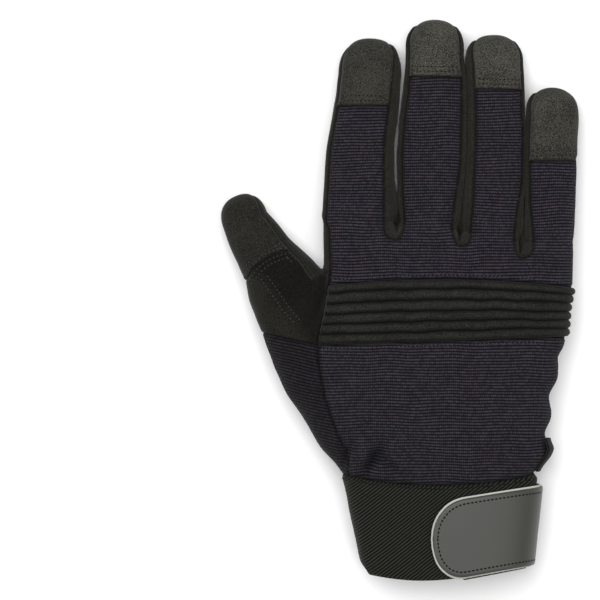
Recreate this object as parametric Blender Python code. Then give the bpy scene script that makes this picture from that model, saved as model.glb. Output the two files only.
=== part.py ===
"""Mechanic glove for the right hand, lying palm down with the fingers along +Y and the thumb at -X.

Sizes are in millimetres and become metres when a point is placed.
The outer skin is made first, as strips that run along the hand, each a grid bent to its place.
Every panel is then cut from that skin, kept a little clear of its neighbours, and given its wall.
"""

import math
from collections import namedtuple

import bmesh
import bpy
from mathutils import Matrix, Vector

MM = 0.001

# Main sizes of the glove
PALM_LENGTH = 88.5
KNUCKLE_WIDTH = 106.3
KNUCKLE_CENTRE = 22.15
WRIST_Y = -76.0
PALM_THICKNESS = 28.0
CUFF_LENGTH = 44.0
THUMB_LENGTH = 48.0
THUMB_THICKNESS = 21.0
THUMB_BOW = 3.0
FINGER_THICKNESS = 20.0
INDEX_LENGTH = 79.1
MIDDLE_LENGTH = 89.0
RING_LENGTH = 87.2
LITTLE_LENGTH = 67.0
TAB_LENGTH = 43.3
TAB_WIDTH = 33.6

# Walls, gaps and small features
SEAM_GAP = 0.3
LAYER_GAP = 0.3
SUEDE_WALL = 1.2
KNIT_WALL = 1.5
CUFF_WALL = 2.0
PATCH_WALL = 1.0
TAB_WALL = 1.0
BACKING_WALL = 0.7
BACKING_RIM = 0.7
PLEATS = 6
PLEAT_HEIGHT = 1.7
PLEAT_CUTS = 8
CROTCH_BULGE = 5.0
PALM_WEB_SHIFT = 10.0
WEB_VALLEY = 3.6
LOOP_ROUND = 3.5
PALM_VALLEY = 1.6
TABS_FROM = 1.345  # where the palm patch parts into tabs, as a share of PALM_LENGTH
TABS_REACH = 0.45  # right edge of each tab, as a share of the finger's half width
FLAP_BULGE = 1.9
FLAP_TAPER = 0.35  # share of the flap's length over which its top comes back to the glove
FLAP_TOP = 0.34  # angles round the hand's edge, in radians
FLAP_LOW = -0.30

# Roundness of the cross-sections: 2 is an ellipse, higher is flatter with tighter corners
TOP_POWER = 3.0
LOW_POWER = 3.6
TIP_POWER = 2.2
PALM_BOW = 0.3
SOLE_FLAT = 1.03  # the underside's arch is cut off flat above 1 / SOLE_FLAT of its depth

# Rows across the hand, from the cuff's end to the thumb's crotch.
# along: share of PALM_LENGTH from the wrist, for the seam, left and right ends.
# seam, palm_seam, left, right: shares of KNUCKLE_WIDTH from the middle of the knuckles.
# bow: how far the row's middle lies ahead of its ends. thick: share of PALM_THICKNESS.
BodyRow = namedtuple(
    "BodyRow", "along seam palm_seam left left_along right right_along bow thick"
)
CUFF_ROWS = (
    BodyRow(-0.963, -0.340, -0.290, -0.368, -0.862, 0.302, -0.800, -0.050, 0.93),
    BodyRow(-0.490, -0.382, -0.320, -0.406, -0.440, 0.319, -0.405, -0.045, 0.95),
)
PALM_ROWS = (
    BodyRow(0.000, -0.423, -0.340, -0.447, 0.006, 0.342, 0.011, -0.038, 0.96),
    BodyRow(0.113, -0.438, -0.378, -0.540, 0.147, 0.381, 0.124, -0.019, 1.00),
    BodyRow(0.232, -0.477, -0.430, -0.615, 0.299, 0.388, 0.237, -0.009, 1.03),
    BodyRow(0.362, -0.514, -0.480, -0.679, 0.412, 0.401, 0.373, 0.000, 1.04),
    BodyRow(0.497, -0.538, -0.515, -0.730, 0.542, 0.426, 0.520, 0.005, 1.03),
    BodyRow(0.641, -0.547, -0.520, -0.774, 0.701, 0.458, 0.680, 0.000, 1.00),
    BodyRow(0.785, -0.528, -0.495, -0.786, 0.741, 0.470, 0.802, 0.011, 0.97),
    BodyRow(0.930, -0.506, -0.475, -0.796, 0.774, 0.486, 0.920, 0.028, 0.94),
    BodyRow(1.000, -0.500, -0.467, -0.805, 0.800, 0.490, 0.989, 0.028, 0.92),
)
WRIST_ROW = 2
BAND_ROW = 7
BAND_END_ROW = 9
CROTCH_ROW = 10

# Where each crotch lies, as shares: x of KNUCKLE_WIDTH from its middle, along of PALM_LENGTH.
# loop_x, loop_along: the bottom of the suede loop on the back. left, right: seam places
# across the hand at the thumb's crotch, 0 at the index seam and 1 at the little finger's edge.
Web = namedtuple("Web", "x along loop_x loop_along left right")
WEBS = (
    Web(-0.217, 1.243, -0.267, 1.198, 0.225, 0.255),
    Web(0.032, 1.198, 0.035, 1.168, 0.528, 0.558),
    Web(0.290, 1.140, 0.273, 1.105, 0.770, 0.800),
)
LITTLE_EDGE_PLACE = 0.972

# Sides of each finger: along as a share of its length, edges as shares of KNUCKLE_WIDTH.
FingerRow = namedtuple("FingerRow", "along left right")
INDEX_ROWS = (
    FingerRow(0.000, -0.531, -0.227),
    FingerRow(0.379, -0.510, -0.240),
    FingerRow(0.633, -0.479, -0.222),
    FingerRow(0.809, -0.459, -0.211),
)
MIDDLE_ROWS = (
    FingerRow(0.000, -0.211, 0.026),
    FingerRow(0.358, -0.222, 0.055),
    FingerRow(0.689, -0.194, 0.056),
    FingerRow(0.846, -0.183, 0.046),
)
RING_ROWS = (
    FingerRow(0.000, 0.036, 0.285),
    FingerRow(0.424, 0.060, 0.294),
    FingerRow(0.722, 0.061, 0.290),
    FingerRow(0.853, 0.057, 0.283),
)
LITTLE_ROWS = (
    FingerRow(0.000, 0.296, 0.495),
    FingerRow(0.225, 0.299, 0.502),
    FingerRow(0.524, 0.302, 0.507),
    FingerRow(0.825, 0.307, 0.512),
)
# Seams on the back, as shares of the half width: at the hand, then along the finger.
# palm_left, palm_right: the seams below. cap: share of the finger below the cap's edge.
Finger = namedtuple(
    "Finger", "name length rows left left_tip right right_tip palm_left palm_right cap"
)
FINGERS = (
    Finger("index", INDEX_LENGTH, INDEX_ROWS, 0.91, 0.92, 0.66, 0.71, 0.60, 0.80, 0.783),
    Finger("middle", MIDDLE_LENGTH, MIDDLE_ROWS, 0.92, 0.89, 0.77, 0.85, 0.80, 0.80, 0.86),
    Finger("ring", RING_LENGTH, RING_ROWS, 0.73, 0.73, 0.72, 0.95, 0.80, 0.80, 0.858),
    Finger("little", LITTLE_LENGTH, LITTLE_ROWS, 0.69, 0.88, 0.90, 0.90, 0.80, 0.90, 0.640),
)
LOWER_ROWS = 4
CAP_ROWS = 2

# Thickness of a finger and height of its underside, against the share of its length.
FINGER_THICKNESS_ROWS = ((0.0, 1.0), (0.35, 0.88), (0.6, 0.81), (0.85, 0.73))
FINGER_LIFT_ROWS = ((0.0, 1.0), (0.45, 1.0), (0.7, 0.35), (0.85, 0.0))

# The thumb: along and aside as shares of THUMB_LENGTH, width as a share of its root's.
# turn: degrees that the row turns from the root's. thick: share of THUMB_THICKNESS.
ThumbRow = namedtuple("ThumbRow", "along aside width turn thick")
THUMB_ROWS = (
    ThumbRow(0.000, 0.000, 1.000, 0.0, 1.00),
    ThumbRow(0.137, -0.006, 0.945, 2.0, 0.97),
    ThumbRow(0.317, -0.014, 0.783, 5.0, 0.90),
    ThumbRow(0.442, -0.025, 0.708, 3.0, 0.85),
    ThumbRow(0.619, -0.024, 0.647, -4.0, 0.78),
    ThumbRow(0.769, -0.032, 0.566, -8.0, 0.72),
)
THUMB_CAP_ROW = 2
THUMB_SEAMS = {"left": 0.93, "right": 0.75, "palm_left": 0.60, "palm_right": 0.75}

# Angle round the fingertip at which its side strip ends
TIP_CORNER = math.radians(60.0)

# Faces across each strip
TOP_FACES = 4
WEB_FACES = 2
SIDE_FACES = 4
HAND_ROWS = 3
TIP_FACES = 3

# Each panel: how far it stands out from the skin, its wall and its material.
Panel = namedtuple("Panel", "name out wall material")
PANELS = (
    Panel("palm_panel", 0.0, SUEDE_WALL, "black_suede"),
    Panel("back_panel_upper", 0.0, KNIT_WALL, "navy_knit"),
    Panel("knuckle_band", 0.0, KNIT_WALL, "pleated_suede"),
    Panel("back_panel_lower", 0.0, KNIT_WALL, "navy_knit_lower"),
    Panel("thumb_gusset", 0.0, KNIT_WALL, "navy_knit_gusset"),
    Panel("thumb_back", 0.2, SUEDE_WALL, "thumb_suede"),
    Panel("thumb_tip_cap", 0.5, SUEDE_WALL + 0.3, "cap_suede_thumb"),
    Panel("thumb_palm", 0.0, SUEDE_WALL, "thumb_palm_suede"),
    Panel("thumb_index_side_strip", 0.0, SUEDE_WALL, "side_suede"),
    Panel("fourchette_index_middle", 0.0, SUEDE_WALL, "fourchette_suede_a"),
    Panel("fourchette_middle_ring", 0.0, SUEDE_WALL, "fourchette_suede_b"),
    Panel("fourchette_ring_little", 0.0, SUEDE_WALL, "fourchette_suede_c"),
    Panel("index_tip_cap", 0.5, SUEDE_WALL + 0.3, "cap_suede_index"),
    Panel("middle_tip_cap", 0.5, SUEDE_WALL + 0.3, "cap_suede_middle"),
    Panel("ring_tip_cap", 0.5, SUEDE_WALL + 0.3, "cap_suede_ring"),
    Panel("little_tip_cap", 0.5, SUEDE_WALL + 0.3, "cap_suede_little"),
    Panel("cuff_band", 0.6, CUFF_WALL, "black_elastic"),
)
PANEL_NUMBER = {panel.name: number for number, panel in enumerate(PANELS)}
FOURCHETTES = (
    "fourchette_index_middle",
    "fourchette_middle_ring",
    "fourchette_ring_little",
)

# Colour and roughness of each material
MATERIALS = {
    "black_suede": ((0.026, 0.027, 0.022), 0.85),
    "navy_knit": ((0.024, 0.022, 0.040), 0.80),
    "pleated_suede": ((0.022, 0.023, 0.020), 0.80),
    "navy_knit_lower": ((0.025, 0.023, 0.041), 0.80),
    "navy_knit_gusset": ((0.023, 0.022, 0.038), 0.82),
    "thumb_suede": ((0.028, 0.029, 0.024), 0.86),
    "cap_suede_thumb": ((0.027, 0.028, 0.023), 0.86),
    "thumb_palm_suede": ((0.025, 0.026, 0.021), 0.85),
    "side_suede": ((0.024, 0.025, 0.020), 0.85),
    "fourchette_suede_a": ((0.020, 0.021, 0.018), 0.86),
    "fourchette_suede_b": ((0.021, 0.021, 0.018), 0.86),
    "fourchette_suede_c": ((0.020, 0.022, 0.018), 0.86),
    "cap_suede_index": ((0.028, 0.028, 0.023), 0.86),
    "cap_suede_middle": ((0.027, 0.029, 0.023), 0.86),
    "cap_suede_ring": ((0.028, 0.029, 0.023), 0.85),
    "cap_suede_little": ((0.027, 0.028, 0.024), 0.85),
    "black_elastic": ((0.015, 0.016, 0.014), 0.70),
    "patch_suede_upper": ((0.022, 0.023, 0.019), 0.84),
    "patch_suede_lower": ((0.023, 0.023, 0.019), 0.84),
    "flap_suede": ((0.045, 0.046, 0.042), 0.88),
    "loop_fabric": ((0.012, 0.012, 0.012), 0.95),
    "white_backing": ((0.620, 0.610, 0.560), 0.60),
    "grey_rubber": ((0.105, 0.107, 0.098), 0.55),
}

Section = namedtuple("Section", "left right mid rise drop")


def mix(first, second, share):
    return first + (second - first) * share


def ease(share):
    share = min(1.0, max(0.0, share))
    return share * share * (3 - 2 * share)


def between(rows, at):
    """Value at a place in a short list of (place, value) rows, straight between them."""
    for (start, low), (end, high) in zip(rows, rows[1:]):
        if at <= end:
            return mix(low, high, max(0.0, at - start) / (end - start))
    return rows[-1][1]


def signed_power(value, power):
    return math.copysign(abs(value) ** power, value)


def spline(values, at):
    """Smooth curve through evenly numbered values."""
    last = len(values) - 1
    step = min(int(max(at, 0)), last - 1)
    share = at - step
    start, end = values[step], values[step + 1]
    before = values[step - 1] if step else 2 * start - end
    after = values[step + 2] if step + 2 <= last else 2 * end - start
    slope_in = (end - before) / 2
    slope_out = (after - start) / 2
    bend = 3 * (end - start) - 2 * slope_in - slope_out
    twist = slope_in + slope_out - 2 * (end - start)
    return start + share * (slope_in + share * (bend + share * twist))


def body_rows():
    """All rows of the cuff and the palm in millimetres."""
    rows = []
    for row in CUFF_ROWS + PALM_ROWS:
        length = CUFF_LENGTH if row in CUFF_ROWS else PALM_LENGTH
        rows.append(
            BodyRow(
                WRIST_Y + row.along * length,
                KNUCKLE_CENTRE + row.seam * KNUCKLE_WIDTH,
                KNUCKLE_CENTRE + row.palm_seam * KNUCKLE_WIDTH,
                KNUCKLE_CENTRE + row.left * KNUCKLE_WIDTH,
                WRIST_Y + row.left_along * length,
                KNUCKLE_CENTRE + row.right * KNUCKLE_WIDTH,
                WRIST_Y + row.right_along * length,
                row.bow * KNUCKLE_WIDTH,
                row.thick * PALM_THICKNESS,
            )
        )
    return rows


BODY = body_rows()
LIFT = LAYER_GAP + PATCH_WALL


def body_row(at):
    return BodyRow(*(spline([row[i] for row in BODY], at) for i in range(len(BODY[0]))))


def across(section, share):
    return mix(section.left, section.right, (share + 1) / 2)


def share_at(section, x):
    return 2 * (x - section.left) / (section.right - section.left) - 1


def depth_at(section, reach, upper):
    """Height over the section's middle at a share of its full arch."""
    return section.rise * reach if upper else -section.drop * min(1.0, reach * SOLE_FLAT)


def height(section, share, side):
    """Height of the section's upper (side 1) or lower (side -1) surface."""
    power = TOP_POWER if side > 0 else LOW_POWER
    arch = max(0.0, 1 - abs(share) ** power) ** (1 / power)
    return section.mid + depth_at(section, arch, side > 0)


def rim(section, end, angle):
    """Point (x, z) round the end of a section: angle 0 at its widest, positive upwards."""
    power = TOP_POWER if angle > 0 else LOW_POWER
    share = end * signed_power(math.cos(angle), 2 / power)
    reach = abs(math.sin(angle)) ** (2 / power)
    return Vector((across(section, share), section.mid + depth_at(section, reach, angle > 0)))


def rim_angle(share, side):
    power = TOP_POWER if side > 0 else LOW_POWER
    return side * math.acos(min(1.0, abs(share)) ** (power / 2))


def rim_point(section, end, top_x, low_x, q):
    """Point of the strip between a seam above and a seam below, q from 0 to 1."""
    top = rim_angle(share_at(section, top_x), 1)
    low = rim_angle(share_at(section, low_x), -1)
    return rim(section, end, mix(top, low, q))


def row_y(row, x, level=0.0):
    """Y of a row of the hand at x. level runs from 0 on the back to 1 on the palm."""
    if x <= row.seam:
        return mix(row.left_along, row.along, (x - row.left) / (row.seam - row.left))
    share = (x - row.seam) / (row.right - row.seam)
    bow = row.bow * mix(1.0, PALM_BOW, level)
    return mix(row.along, row.right_along, share) + 4 * bow * share * (1 - share)


def crotch_x(row):
    """X of the line that ends in the thumb's crotch."""
    return row.seam - 0.077 * (row.seam - row.left)


def wide_section(row):
    drop = 0.42 * row.thick
    return Section(row.left, row.right, LIFT + drop, row.thick - drop, drop)


def hand_section(row):
    return wide_section(row)._replace(left=crotch_x(row))


def thumb_section(row):
    drop = 0.42 * THUMB_THICKNESS
    rise = THUMB_THICKNESS - drop
    return Section(row.left, crotch_x(row), LIFT + drop, rise, drop)


def branch_share(at):
    """How far a row has parted into the thumb and the hand."""
    return ease((at - BAND_ROW) / (CROTCH_ROW - BAND_ROW))


def body_height(row, at, x, side, branch):
    whole = wide_section(row)
    wide = height(whole, share_at(whole, x), side)
    part = height(branch, share_at(branch, x), side)
    return mix(wide, part, branch_share(at))


def dip(left, right, middle_x, depth, u):
    """Point (x, z) across a web strip, which sinks towards its middle line."""
    middle = Vector((middle_x, (left.y + right.y) / 2 - depth))
    if u < 0.5:
        return left.lerp(middle, 2 * u)
    return middle.lerp(right, 2 * u - 1)


def valley(side):
    return WEB_VALLEY if side > 0 else -PALM_VALLEY


def place_x(row, place):
    return mix(row.seam, row.right, place)


def body_seams(row, finger, side):
    """X of the two seams of a finger's strip on the hand."""
    left = WEBS[finger - 1].right if finger else 0.0
    right = WEBS[finger].left if finger < 3 else LITTLE_EDGE_PLACE
    if side < 0 and not finger:
        return row.palm_seam, place_x(row, right)
    return place_x(row, left), place_x(row, right)


def body_point(at, x, side, branch):
    return Vector((x, body_height(body_row(at), at, x, side, branch)))


def finish(point, row, level):
    return Vector((point.x, row_y(row, point.x, level), point.y))


def body_finger_strip(finger, side):
    def place(u, at):
        row = body_row(at)
        left, right = body_seams(row, finger, side)
        x = mix(left, right, u)
        point = body_point(at, x, side, hand_section(row))
        return finish(point, row, 0.0 if side > 0 else 1.0)

    return place


def body_web_strip(web, side):
    def place(u, at):
        row = body_row(at)
        hand = hand_section(row)
        left = body_point(at, body_seams(row, web, side)[1], side, hand)
        right = body_point(at, body_seams(row, web + 1, side)[0], side, hand)
        depth = 0.25 * valley(side) * branch_share(at)
        middle = (left.x + right.x) / 2
        return finish(dip(left, right, middle, depth, u), row, 0.0 if side > 0 else 1.0)

    return place


def thumb_seam(side, end):
    return THUMB_SEAMS[end if side > 0 else "palm_" + end]


def body_thumb_strip(side):
    def place(u, at):
        row = body_row(at)
        thumb = thumb_section(row)
        left = across(thumb, -thumb_seam(side, "left"))
        right = across(thumb, thumb_seam(side, "right"))
        point = body_point(at, mix(left, right, u), side, thumb)
        return finish(point, row, 0.0 if side > 0 else 1.0)

    return place


def body_thumb_web(side):
    def place(u, at):
        row = body_row(at)
        thumb = thumb_section(row)
        left = body_point(at, across(thumb, thumb_seam(side, "right")), side, thumb)
        seam_x = body_seams(row, 0, side)[0]
        right = body_point(at, seam_x, side, hand_section(row))
        depth = valley(side) * branch_share(at)
        return finish(
            dip(left, right, crotch_x(row), depth, u), row, 0.0 if side > 0 else 1.0
        )

    return place


def body_side(end):
    """The strip round the little finger's edge (end 1) or the thumb's edge (end -1)."""

    def place(q, at):
        row = body_row(at)
        if end > 0:
            part = hand_section(row)
            top_x = low_x = place_x(row, LITTLE_EDGE_PLACE)
        else:
            part = thumb_section(row)
            top_x = across(part, -THUMB_SEAMS["left"])
            low_x = across(part, -THUMB_SEAMS["palm_left"])
        wide = rim_point(wide_section(row), end, top_x, low_x, q)
        near = rim_point(part, end, top_x, low_x, q)
        return finish(wide.lerp(near, branch_share(at)), row, q)

    return place


def web_line(x, side, loops=False):
    """Y where the fingers start (or where the loops end) at x."""
    shift = 0.0 if side > 0 else PALM_WEB_SHIFT
    rows = []
    for web in WEBS:
        at_x = KNUCKLE_CENTRE + (web.loop_x if loops else web.x) * KNUCKLE_WIDTH
        along = web.loop_along if loops else web.along
        rows.append((at_x, WRIST_Y + along * PALM_LENGTH + shift))
    return between([(-math.inf, rows[0][1])] + rows, x) if x > rows[0][0] else rows[0][1]


def level_line(x, level, loops=False):
    return mix(web_line(x, 1, loops), web_line(x, -1, loops), level)


def finger_section(finger, along):
    """Section of a finger at a share of its length."""
    rows = FINGERS[finger].rows
    places = [row.along for row in rows]
    number = between(list(zip(places, range(len(rows)))), along)
    left = KNUCKLE_CENTRE + spline([row.left for row in rows], number) * KNUCKLE_WIDTH
    right = KNUCKLE_CENTRE + spline([row.right for row in rows], number) * KNUCKLE_WIDTH
    thick = FINGER_THICKNESS * between(FINGER_THICKNESS_ROWS, along)
    drop = 0.45 * thick
    return Section(
        left, right, LIFT * between(FINGER_LIFT_ROWS, along) + drop, thick - drop, drop
    )


def finger_seams(finger, along, side):
    """X of the seams of a finger at a share of its length."""
    section = finger_section(finger, along)
    shape = FINGERS[finger]
    run = ease(along / 0.3)
    if side > 0:
        left = mix(shape.left, shape.left_tip, run)
        right = mix(shape.right, shape.right_tip, run)
    else:
        left, right = shape.palm_left, shape.palm_right
    return across(section, -left), across(section, right)


def finger_point(finger, along, u, side):
    section = finger_section(finger, along)
    left, right = finger_seams(finger, along, side)
    x = mix(left, right, u)
    return Vector((x, height(section, share_at(section, x), side)))


def finger_rim(finger, along, end, q):
    section = finger_section(finger, along)
    number = 1 if end > 0 else 0
    top_x = finger_seams(finger, along, 1)[number]
    low_x = finger_seams(finger, along, -1)[number]
    return rim_point(section, end, top_x, low_x, q)


def hand_y(x, at, level):
    """Y between the thumb's crotch row (at 0) and the finger crotches (at HAND_ROWS)."""
    start = row_y(BODY[CROTCH_ROW], x, level)
    loops = level_line(x, level, loops=True)
    webs = level_line(x, level)
    if at < 1:
        return mix(start, loops, at)
    return mix(loops, webs, (at - 1) / (HAND_ROWS - 1))


def parting(at):
    """How far the hand's rows have turned into separate fingers."""
    return between(((0, 0.0), (1, 0.15), (2, 0.55), (HAND_ROWS, 1.0)), at)


def spread(at):
    """How far the seams beside a web have moved apart, which they do ahead of the fingers."""
    return between(((0, 0.0), (1, 0.85), (HAND_ROWS, 1.0)), at)


def strip_spread(finger, at, u):
    """How far a point of a finger's strip has moved: ahead of the fingers next to a web."""
    outer = {0: 1 - u, 3: u}.get(finger, 0.0)
    return mix(spread(at), parting(at), outer)


def hand_seam_point(finger, at, u, side):
    row = BODY[CROTCH_ROW]
    left, right = body_seams(row, finger, side)
    start = body_point(CROTCH_ROW, mix(left, right, u), side, hand_section(row))
    end = finger_point(finger, 0.0, u, side)
    x = mix(start.x, end.x, strip_spread(finger, at, u))
    return Vector((x, mix(start.y, end.y, parting(at))))


def hand_finger_strip(finger, side):
    def place(u, at):
        point = hand_seam_point(finger, at, u, side)
        level = 0.0 if side > 0 else 1.0
        return Vector((point.x, hand_y(point.x, at, level), point.y))

    return place


def hand_web_point(web, at, u, side):
    left = hand_seam_point(web, at, 1.0, side)
    right = hand_seam_point(web + 1, at, 0.0, side)
    end_x = KNUCKLE_CENTRE + WEBS[web].x * KNUCKLE_WIDTH
    middle_x = mix((left.x + right.x) / 2, end_x, parting(at))
    depth = valley(side) * mix(0.25, 1.0, parting(at))
    return dip(left, right, middle_x, depth, u)


def loop_sag(u, at):
    """How far the round end of a loop on the back hangs towards the wrist."""
    share = between(((0, 0.0), (1, 1.0), (HAND_ROWS, 0.0)), at)
    return LOOP_ROUND * share * math.sqrt(max(0.0, 1 - (2 * u - 1) ** 2))


def hand_web_strip(web, side):
    def place(u, at):
        point = hand_web_point(web, at, u, side)
        if side > 0:
            return Vector((point.x, hand_y(point.x, at, 0.0) - loop_sag(u, at), point.y))
        return Vector((point.x, hand_y(point.x, at, 1.0), point.y))

    return place


def crotch_curve(top, low, q):
    """Wall of a crotch from its top to its bottom, bulging towards the fingertips."""
    edge = 1 / SIDE_FACES
    share = (q - edge) / (1 - 2 * edge)
    wave = math.sin(math.pi * share)
    point = top.lerp(low, (1 - math.cos(math.pi * share)) / 2)
    point.y += CROTCH_BULGE * wave
    return point


def crotch_base(seam_top, top, low, seam_low, q):
    """First row of a side strip: from the seam to the crotch, down it, and back out."""
    edge = 1 / SIDE_FACES
    if q < edge:
        return seam_top.lerp(top, q / edge)
    if q > 1 - edge:
        return low.lerp(seam_low, (q - 1 + edge) / edge)
    return crotch_curve(top, low, q)


def opening(distance, q):
    """How far a side strip has left its crotch. Its seams, at q 0 and 1, leave at once."""
    hold = min(1.0, min(q, 1 - q) * SIDE_FACES)
    way = math.sqrt(max(0.0, 1 - (1 - min(1.0, distance / 7.0)) ** 2))
    return 1 - (1 - way) * hold


def thumb_crotch(side):
    return body_thumb_web(side)(0.5, CROTCH_ROW)


def hand_side(end):
    """Edge of the hand above the thumb's crotch row: index (end -1) or little finger (end 1)."""
    finger = 0 if end < 0 else 3

    def place(q, at):
        row = BODY[CROTCH_ROW]
        number = 1 if end > 0 else 0
        top_x = body_seams(row, finger, 1)[number]
        low_x = body_seams(row, finger, -1)[number]
        start = rim_point(hand_section(row), end, top_x, low_x, q)
        point = start.lerp(finger_rim(finger, 0.0, end, q), parting(at))
        free = Vector((point.x, hand_y(point.x, at, q), point.y))
        if end > 0:
            return free
        seams = [hand_finger_strip(0, side)(0.0, 0) for side in (1, -1)]
        base = crotch_base(seams[0], thumb_crotch(1), thumb_crotch(-1), seams[1], q)
        return base.lerp(free, opening(8 * at, q))

    return place


def finger_y(finger, base_y, at):
    """Y of a row of a finger: LOWER_ROWS rows up to its cap, CAP_ROWS rows under the cap."""
    share = finger_rows(finger, at)
    return mix(base_y, dome_y(finger), share)


def finger_rows(finger, at):
    return between(
        ((0, 0.0), (LOWER_ROWS, FINGERS[finger].cap), (LOWER_ROWS + CAP_ROWS, 1.0)), at
    )


def finger_root(finger):
    """Y from which a finger's length is measured: the mean of its crotches."""
    ends = [web for web in (finger - 1, finger) if 0 <= web < len(WEBS)]
    lines = [WRIST_Y + WEBS[web].along * PALM_LENGTH for web in ends]
    return sum(lines) / len(lines)


def dome_y(finger):
    shape = FINGERS[finger]
    return finger_root(finger) + shape.rows[-1].along * shape.length


def along_at(finger, y):
    shape = FINGERS[finger]
    return min(shape.rows[-1].along, max(0.0, (y - finger_root(finger)) / shape.length))


def finger_strip(finger, side):
    level = 0.0 if side > 0 else 1.0

    def place(u, at):
        base = hand_finger_strip(finger, side)(u, HAND_ROWS)
        y = finger_y(finger, base.y, at)
        start = finger_point(finger, 0.0, u, side)
        point = finger_point(finger, along_at(finger, y), u, side)
        point = start if at == 0 else point
        return Vector((point.x, y, point.y)) if level + at else base

    return place


def finger_base(finger, end, q):
    """First row of a finger's side strip."""
    seam_u = 1.0 if end > 0 else 0.0
    web = finger if end > 0 else finger - 1
    if not 0 <= web < 3:
        return hand_side(end)(q, HAND_ROWS)
    seams = [hand_finger_strip(finger, side)(seam_u, HAND_ROWS) for side in (1, -1)]
    middle = [hand_web_strip(web, side)(0.5, HAND_ROWS) for side in (1, -1)]
    return crotch_base(seams[0], middle[0], middle[1], seams[1], q)


def finger_side(finger, end):
    def place(q, at):
        base = finger_base(finger, end, q)
        if at == 0:
            return base
        y = finger_y(finger, base.y, at)
        point = finger_rim(finger, along_at(finger, y), end, q)
        return base.lerp(Vector((point.x, y, point.y)), opening(y - base.y, q))

    return place


def thumb_frame(at):
    """Left and right ends of a thumb row in plan, and its section."""
    row = BODY[CROTCH_ROW]
    left = Vector((row.left, row.left_along))
    right = Vector((crotch_x(row), row_y(row, crotch_x(row))))
    root = right - left
    side = root.normalized()
    forward = Vector((-side.y, side.x))
    values = [spline([line[i] for line in THUMB_ROWS], at) for i in range(5)]
    along, aside, width, turn, thick = values
    centre = (left + right) / 2 + THUMB_LENGTH * (along * forward + aside * side)
    angle = math.radians(turn)
    arm = side * math.cos(angle) + forward * math.sin(angle)
    half = arm * root.length * width / 2
    depth = THUMB_THICKNESS * thick
    drop = 0.42 * depth
    lift = LIFT * max(0.4, 1 - along / 0.9)
    section = Section(-1.0, 1.0, lift + drop, depth - drop, drop)
    return centre, half, section


def thumb_place(at, point):
    centre, half, _ = thumb_frame(at)
    plan = centre + half * point.x
    return Vector((plan.x, plan.y, point.y))


def thumb_bow(u, at):
    """How far the cross seam of the thumb's back bows towards the tip between its ends."""
    share = between(((0, 0.0), (THUMB_CAP_ROW, 1.0), (len(THUMB_ROWS) - 1, 0.0)), at)
    return THUMB_BOW * share * 4 * u * (1 - u)


def thumb_strip(side):
    def place(u, at):
        half, section = thumb_frame(at)[1:]
        share = mix(-thumb_seam(side, "left"), thumb_seam(side, "right"), u)
        point = thumb_place(at, Vector((share, height(section, share, side))))
        if side > 0:
            point += Vector((-half.y, half.x, 0.0)).normalized() * thumb_bow(u, at)
        return point

    return place


def thumb_side(end):
    name = "right" if end > 0 else "left"

    def place(q, at):
        section = thumb_frame(at)[2]
        top_x = end * thumb_seam(1, name)
        low_x = end * thumb_seam(-1, name)
        free = thumb_place(at, rim_point(section, end, top_x, low_x, q))
        if end < 0:
            return free
        seams = [thumb_strip(side)(1.0, 0) for side in (1, -1)]
        base = crotch_base(seams[0], thumb_crotch(1), thumb_crotch(-1), seams[1], q)
        return base.lerp(free, opening(8 * at, q))

    return place


def dome_point(half_width, section, length, start, end_angle, share):
    """Point of a fingertip, between the last row (share 0) and the seam round the tip."""
    target = Vector((math.cos(end_angle), math.sin(end_angle), 0.0))
    angle = start.angle(target, 0.0)
    if angle > 1e-6:
        weight = math.sin(angle)
        way = start * (math.sin((1 - share) * angle) / weight)
        way += target * (math.sin(share * angle) / weight)
    else:
        way = target
    power = mix(TOP_POWER if start.z > 0 else LOW_POWER, TIP_POWER, share)
    return Vector(
        (
            half_width * signed_power(way.x, 2 / power),
            length * signed_power(max(way.y, 0.0), 2 / TIP_POWER),
            depth_at(section, abs(way.z) ** (2 / power), way.z > 0),
        )
    )


def unit_at(share, side):
    """Direction of a place on the section's upper or lower half."""
    power = TOP_POWER if side > 0 else LOW_POWER
    x = signed_power(min(1.0, max(-1.0, share)), power / 2)
    return Vector((x, 0.0, side * math.sqrt(max(0.0, 1 - x * x))))


def tip_frame(finger):
    """Section, place and length of a fingertip's dome. finger 4 is the thumb."""
    if finger < 4:
        shape = FINGERS[finger]
        section = finger_section(finger, shape.rows[-1].along)
        centre = Vector(((section.left + section.right) / 2, dome_y(finger)))
        half = Vector(((section.right - section.left) / 2, 0.0))
        return section, centre, half, (1 - shape.rows[-1].along) * shape.length
    centre, half, section = thumb_frame(len(THUMB_ROWS) - 1)
    return section, centre, half, (1 - THUMB_ROWS[-1].along) * THUMB_LENGTH


def tip_place(finger, start, end_angle, share):
    section, centre, half, length = tip_frame(finger)
    point = dome_point(half.length, section, length, start, end_angle, share)
    side = half.normalized()
    forward = Vector((-side.y, side.x))
    plan = centre + side * point.x + forward * point.y
    return Vector((plan.x, plan.y, section.mid + point.z))


def tip_seam_shares(finger, side):
    if finger == 4:
        return -thumb_seam(side, "left"), thumb_seam(side, "right")
    along = FINGERS[finger].rows[-1].along
    section = finger_section(finger, along)
    left, right = finger_seams(finger, along, side)
    return share_at(section, left), share_at(section, right)


def tip_strip(finger, side):
    def place(u, share):
        left, right = tip_seam_shares(finger, side)
        start = unit_at(mix(left, right, u), side)
        corner = mix(math.pi - TIP_CORNER, TIP_CORNER, u)
        return tip_place(finger, start, corner, share)

    return place


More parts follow.
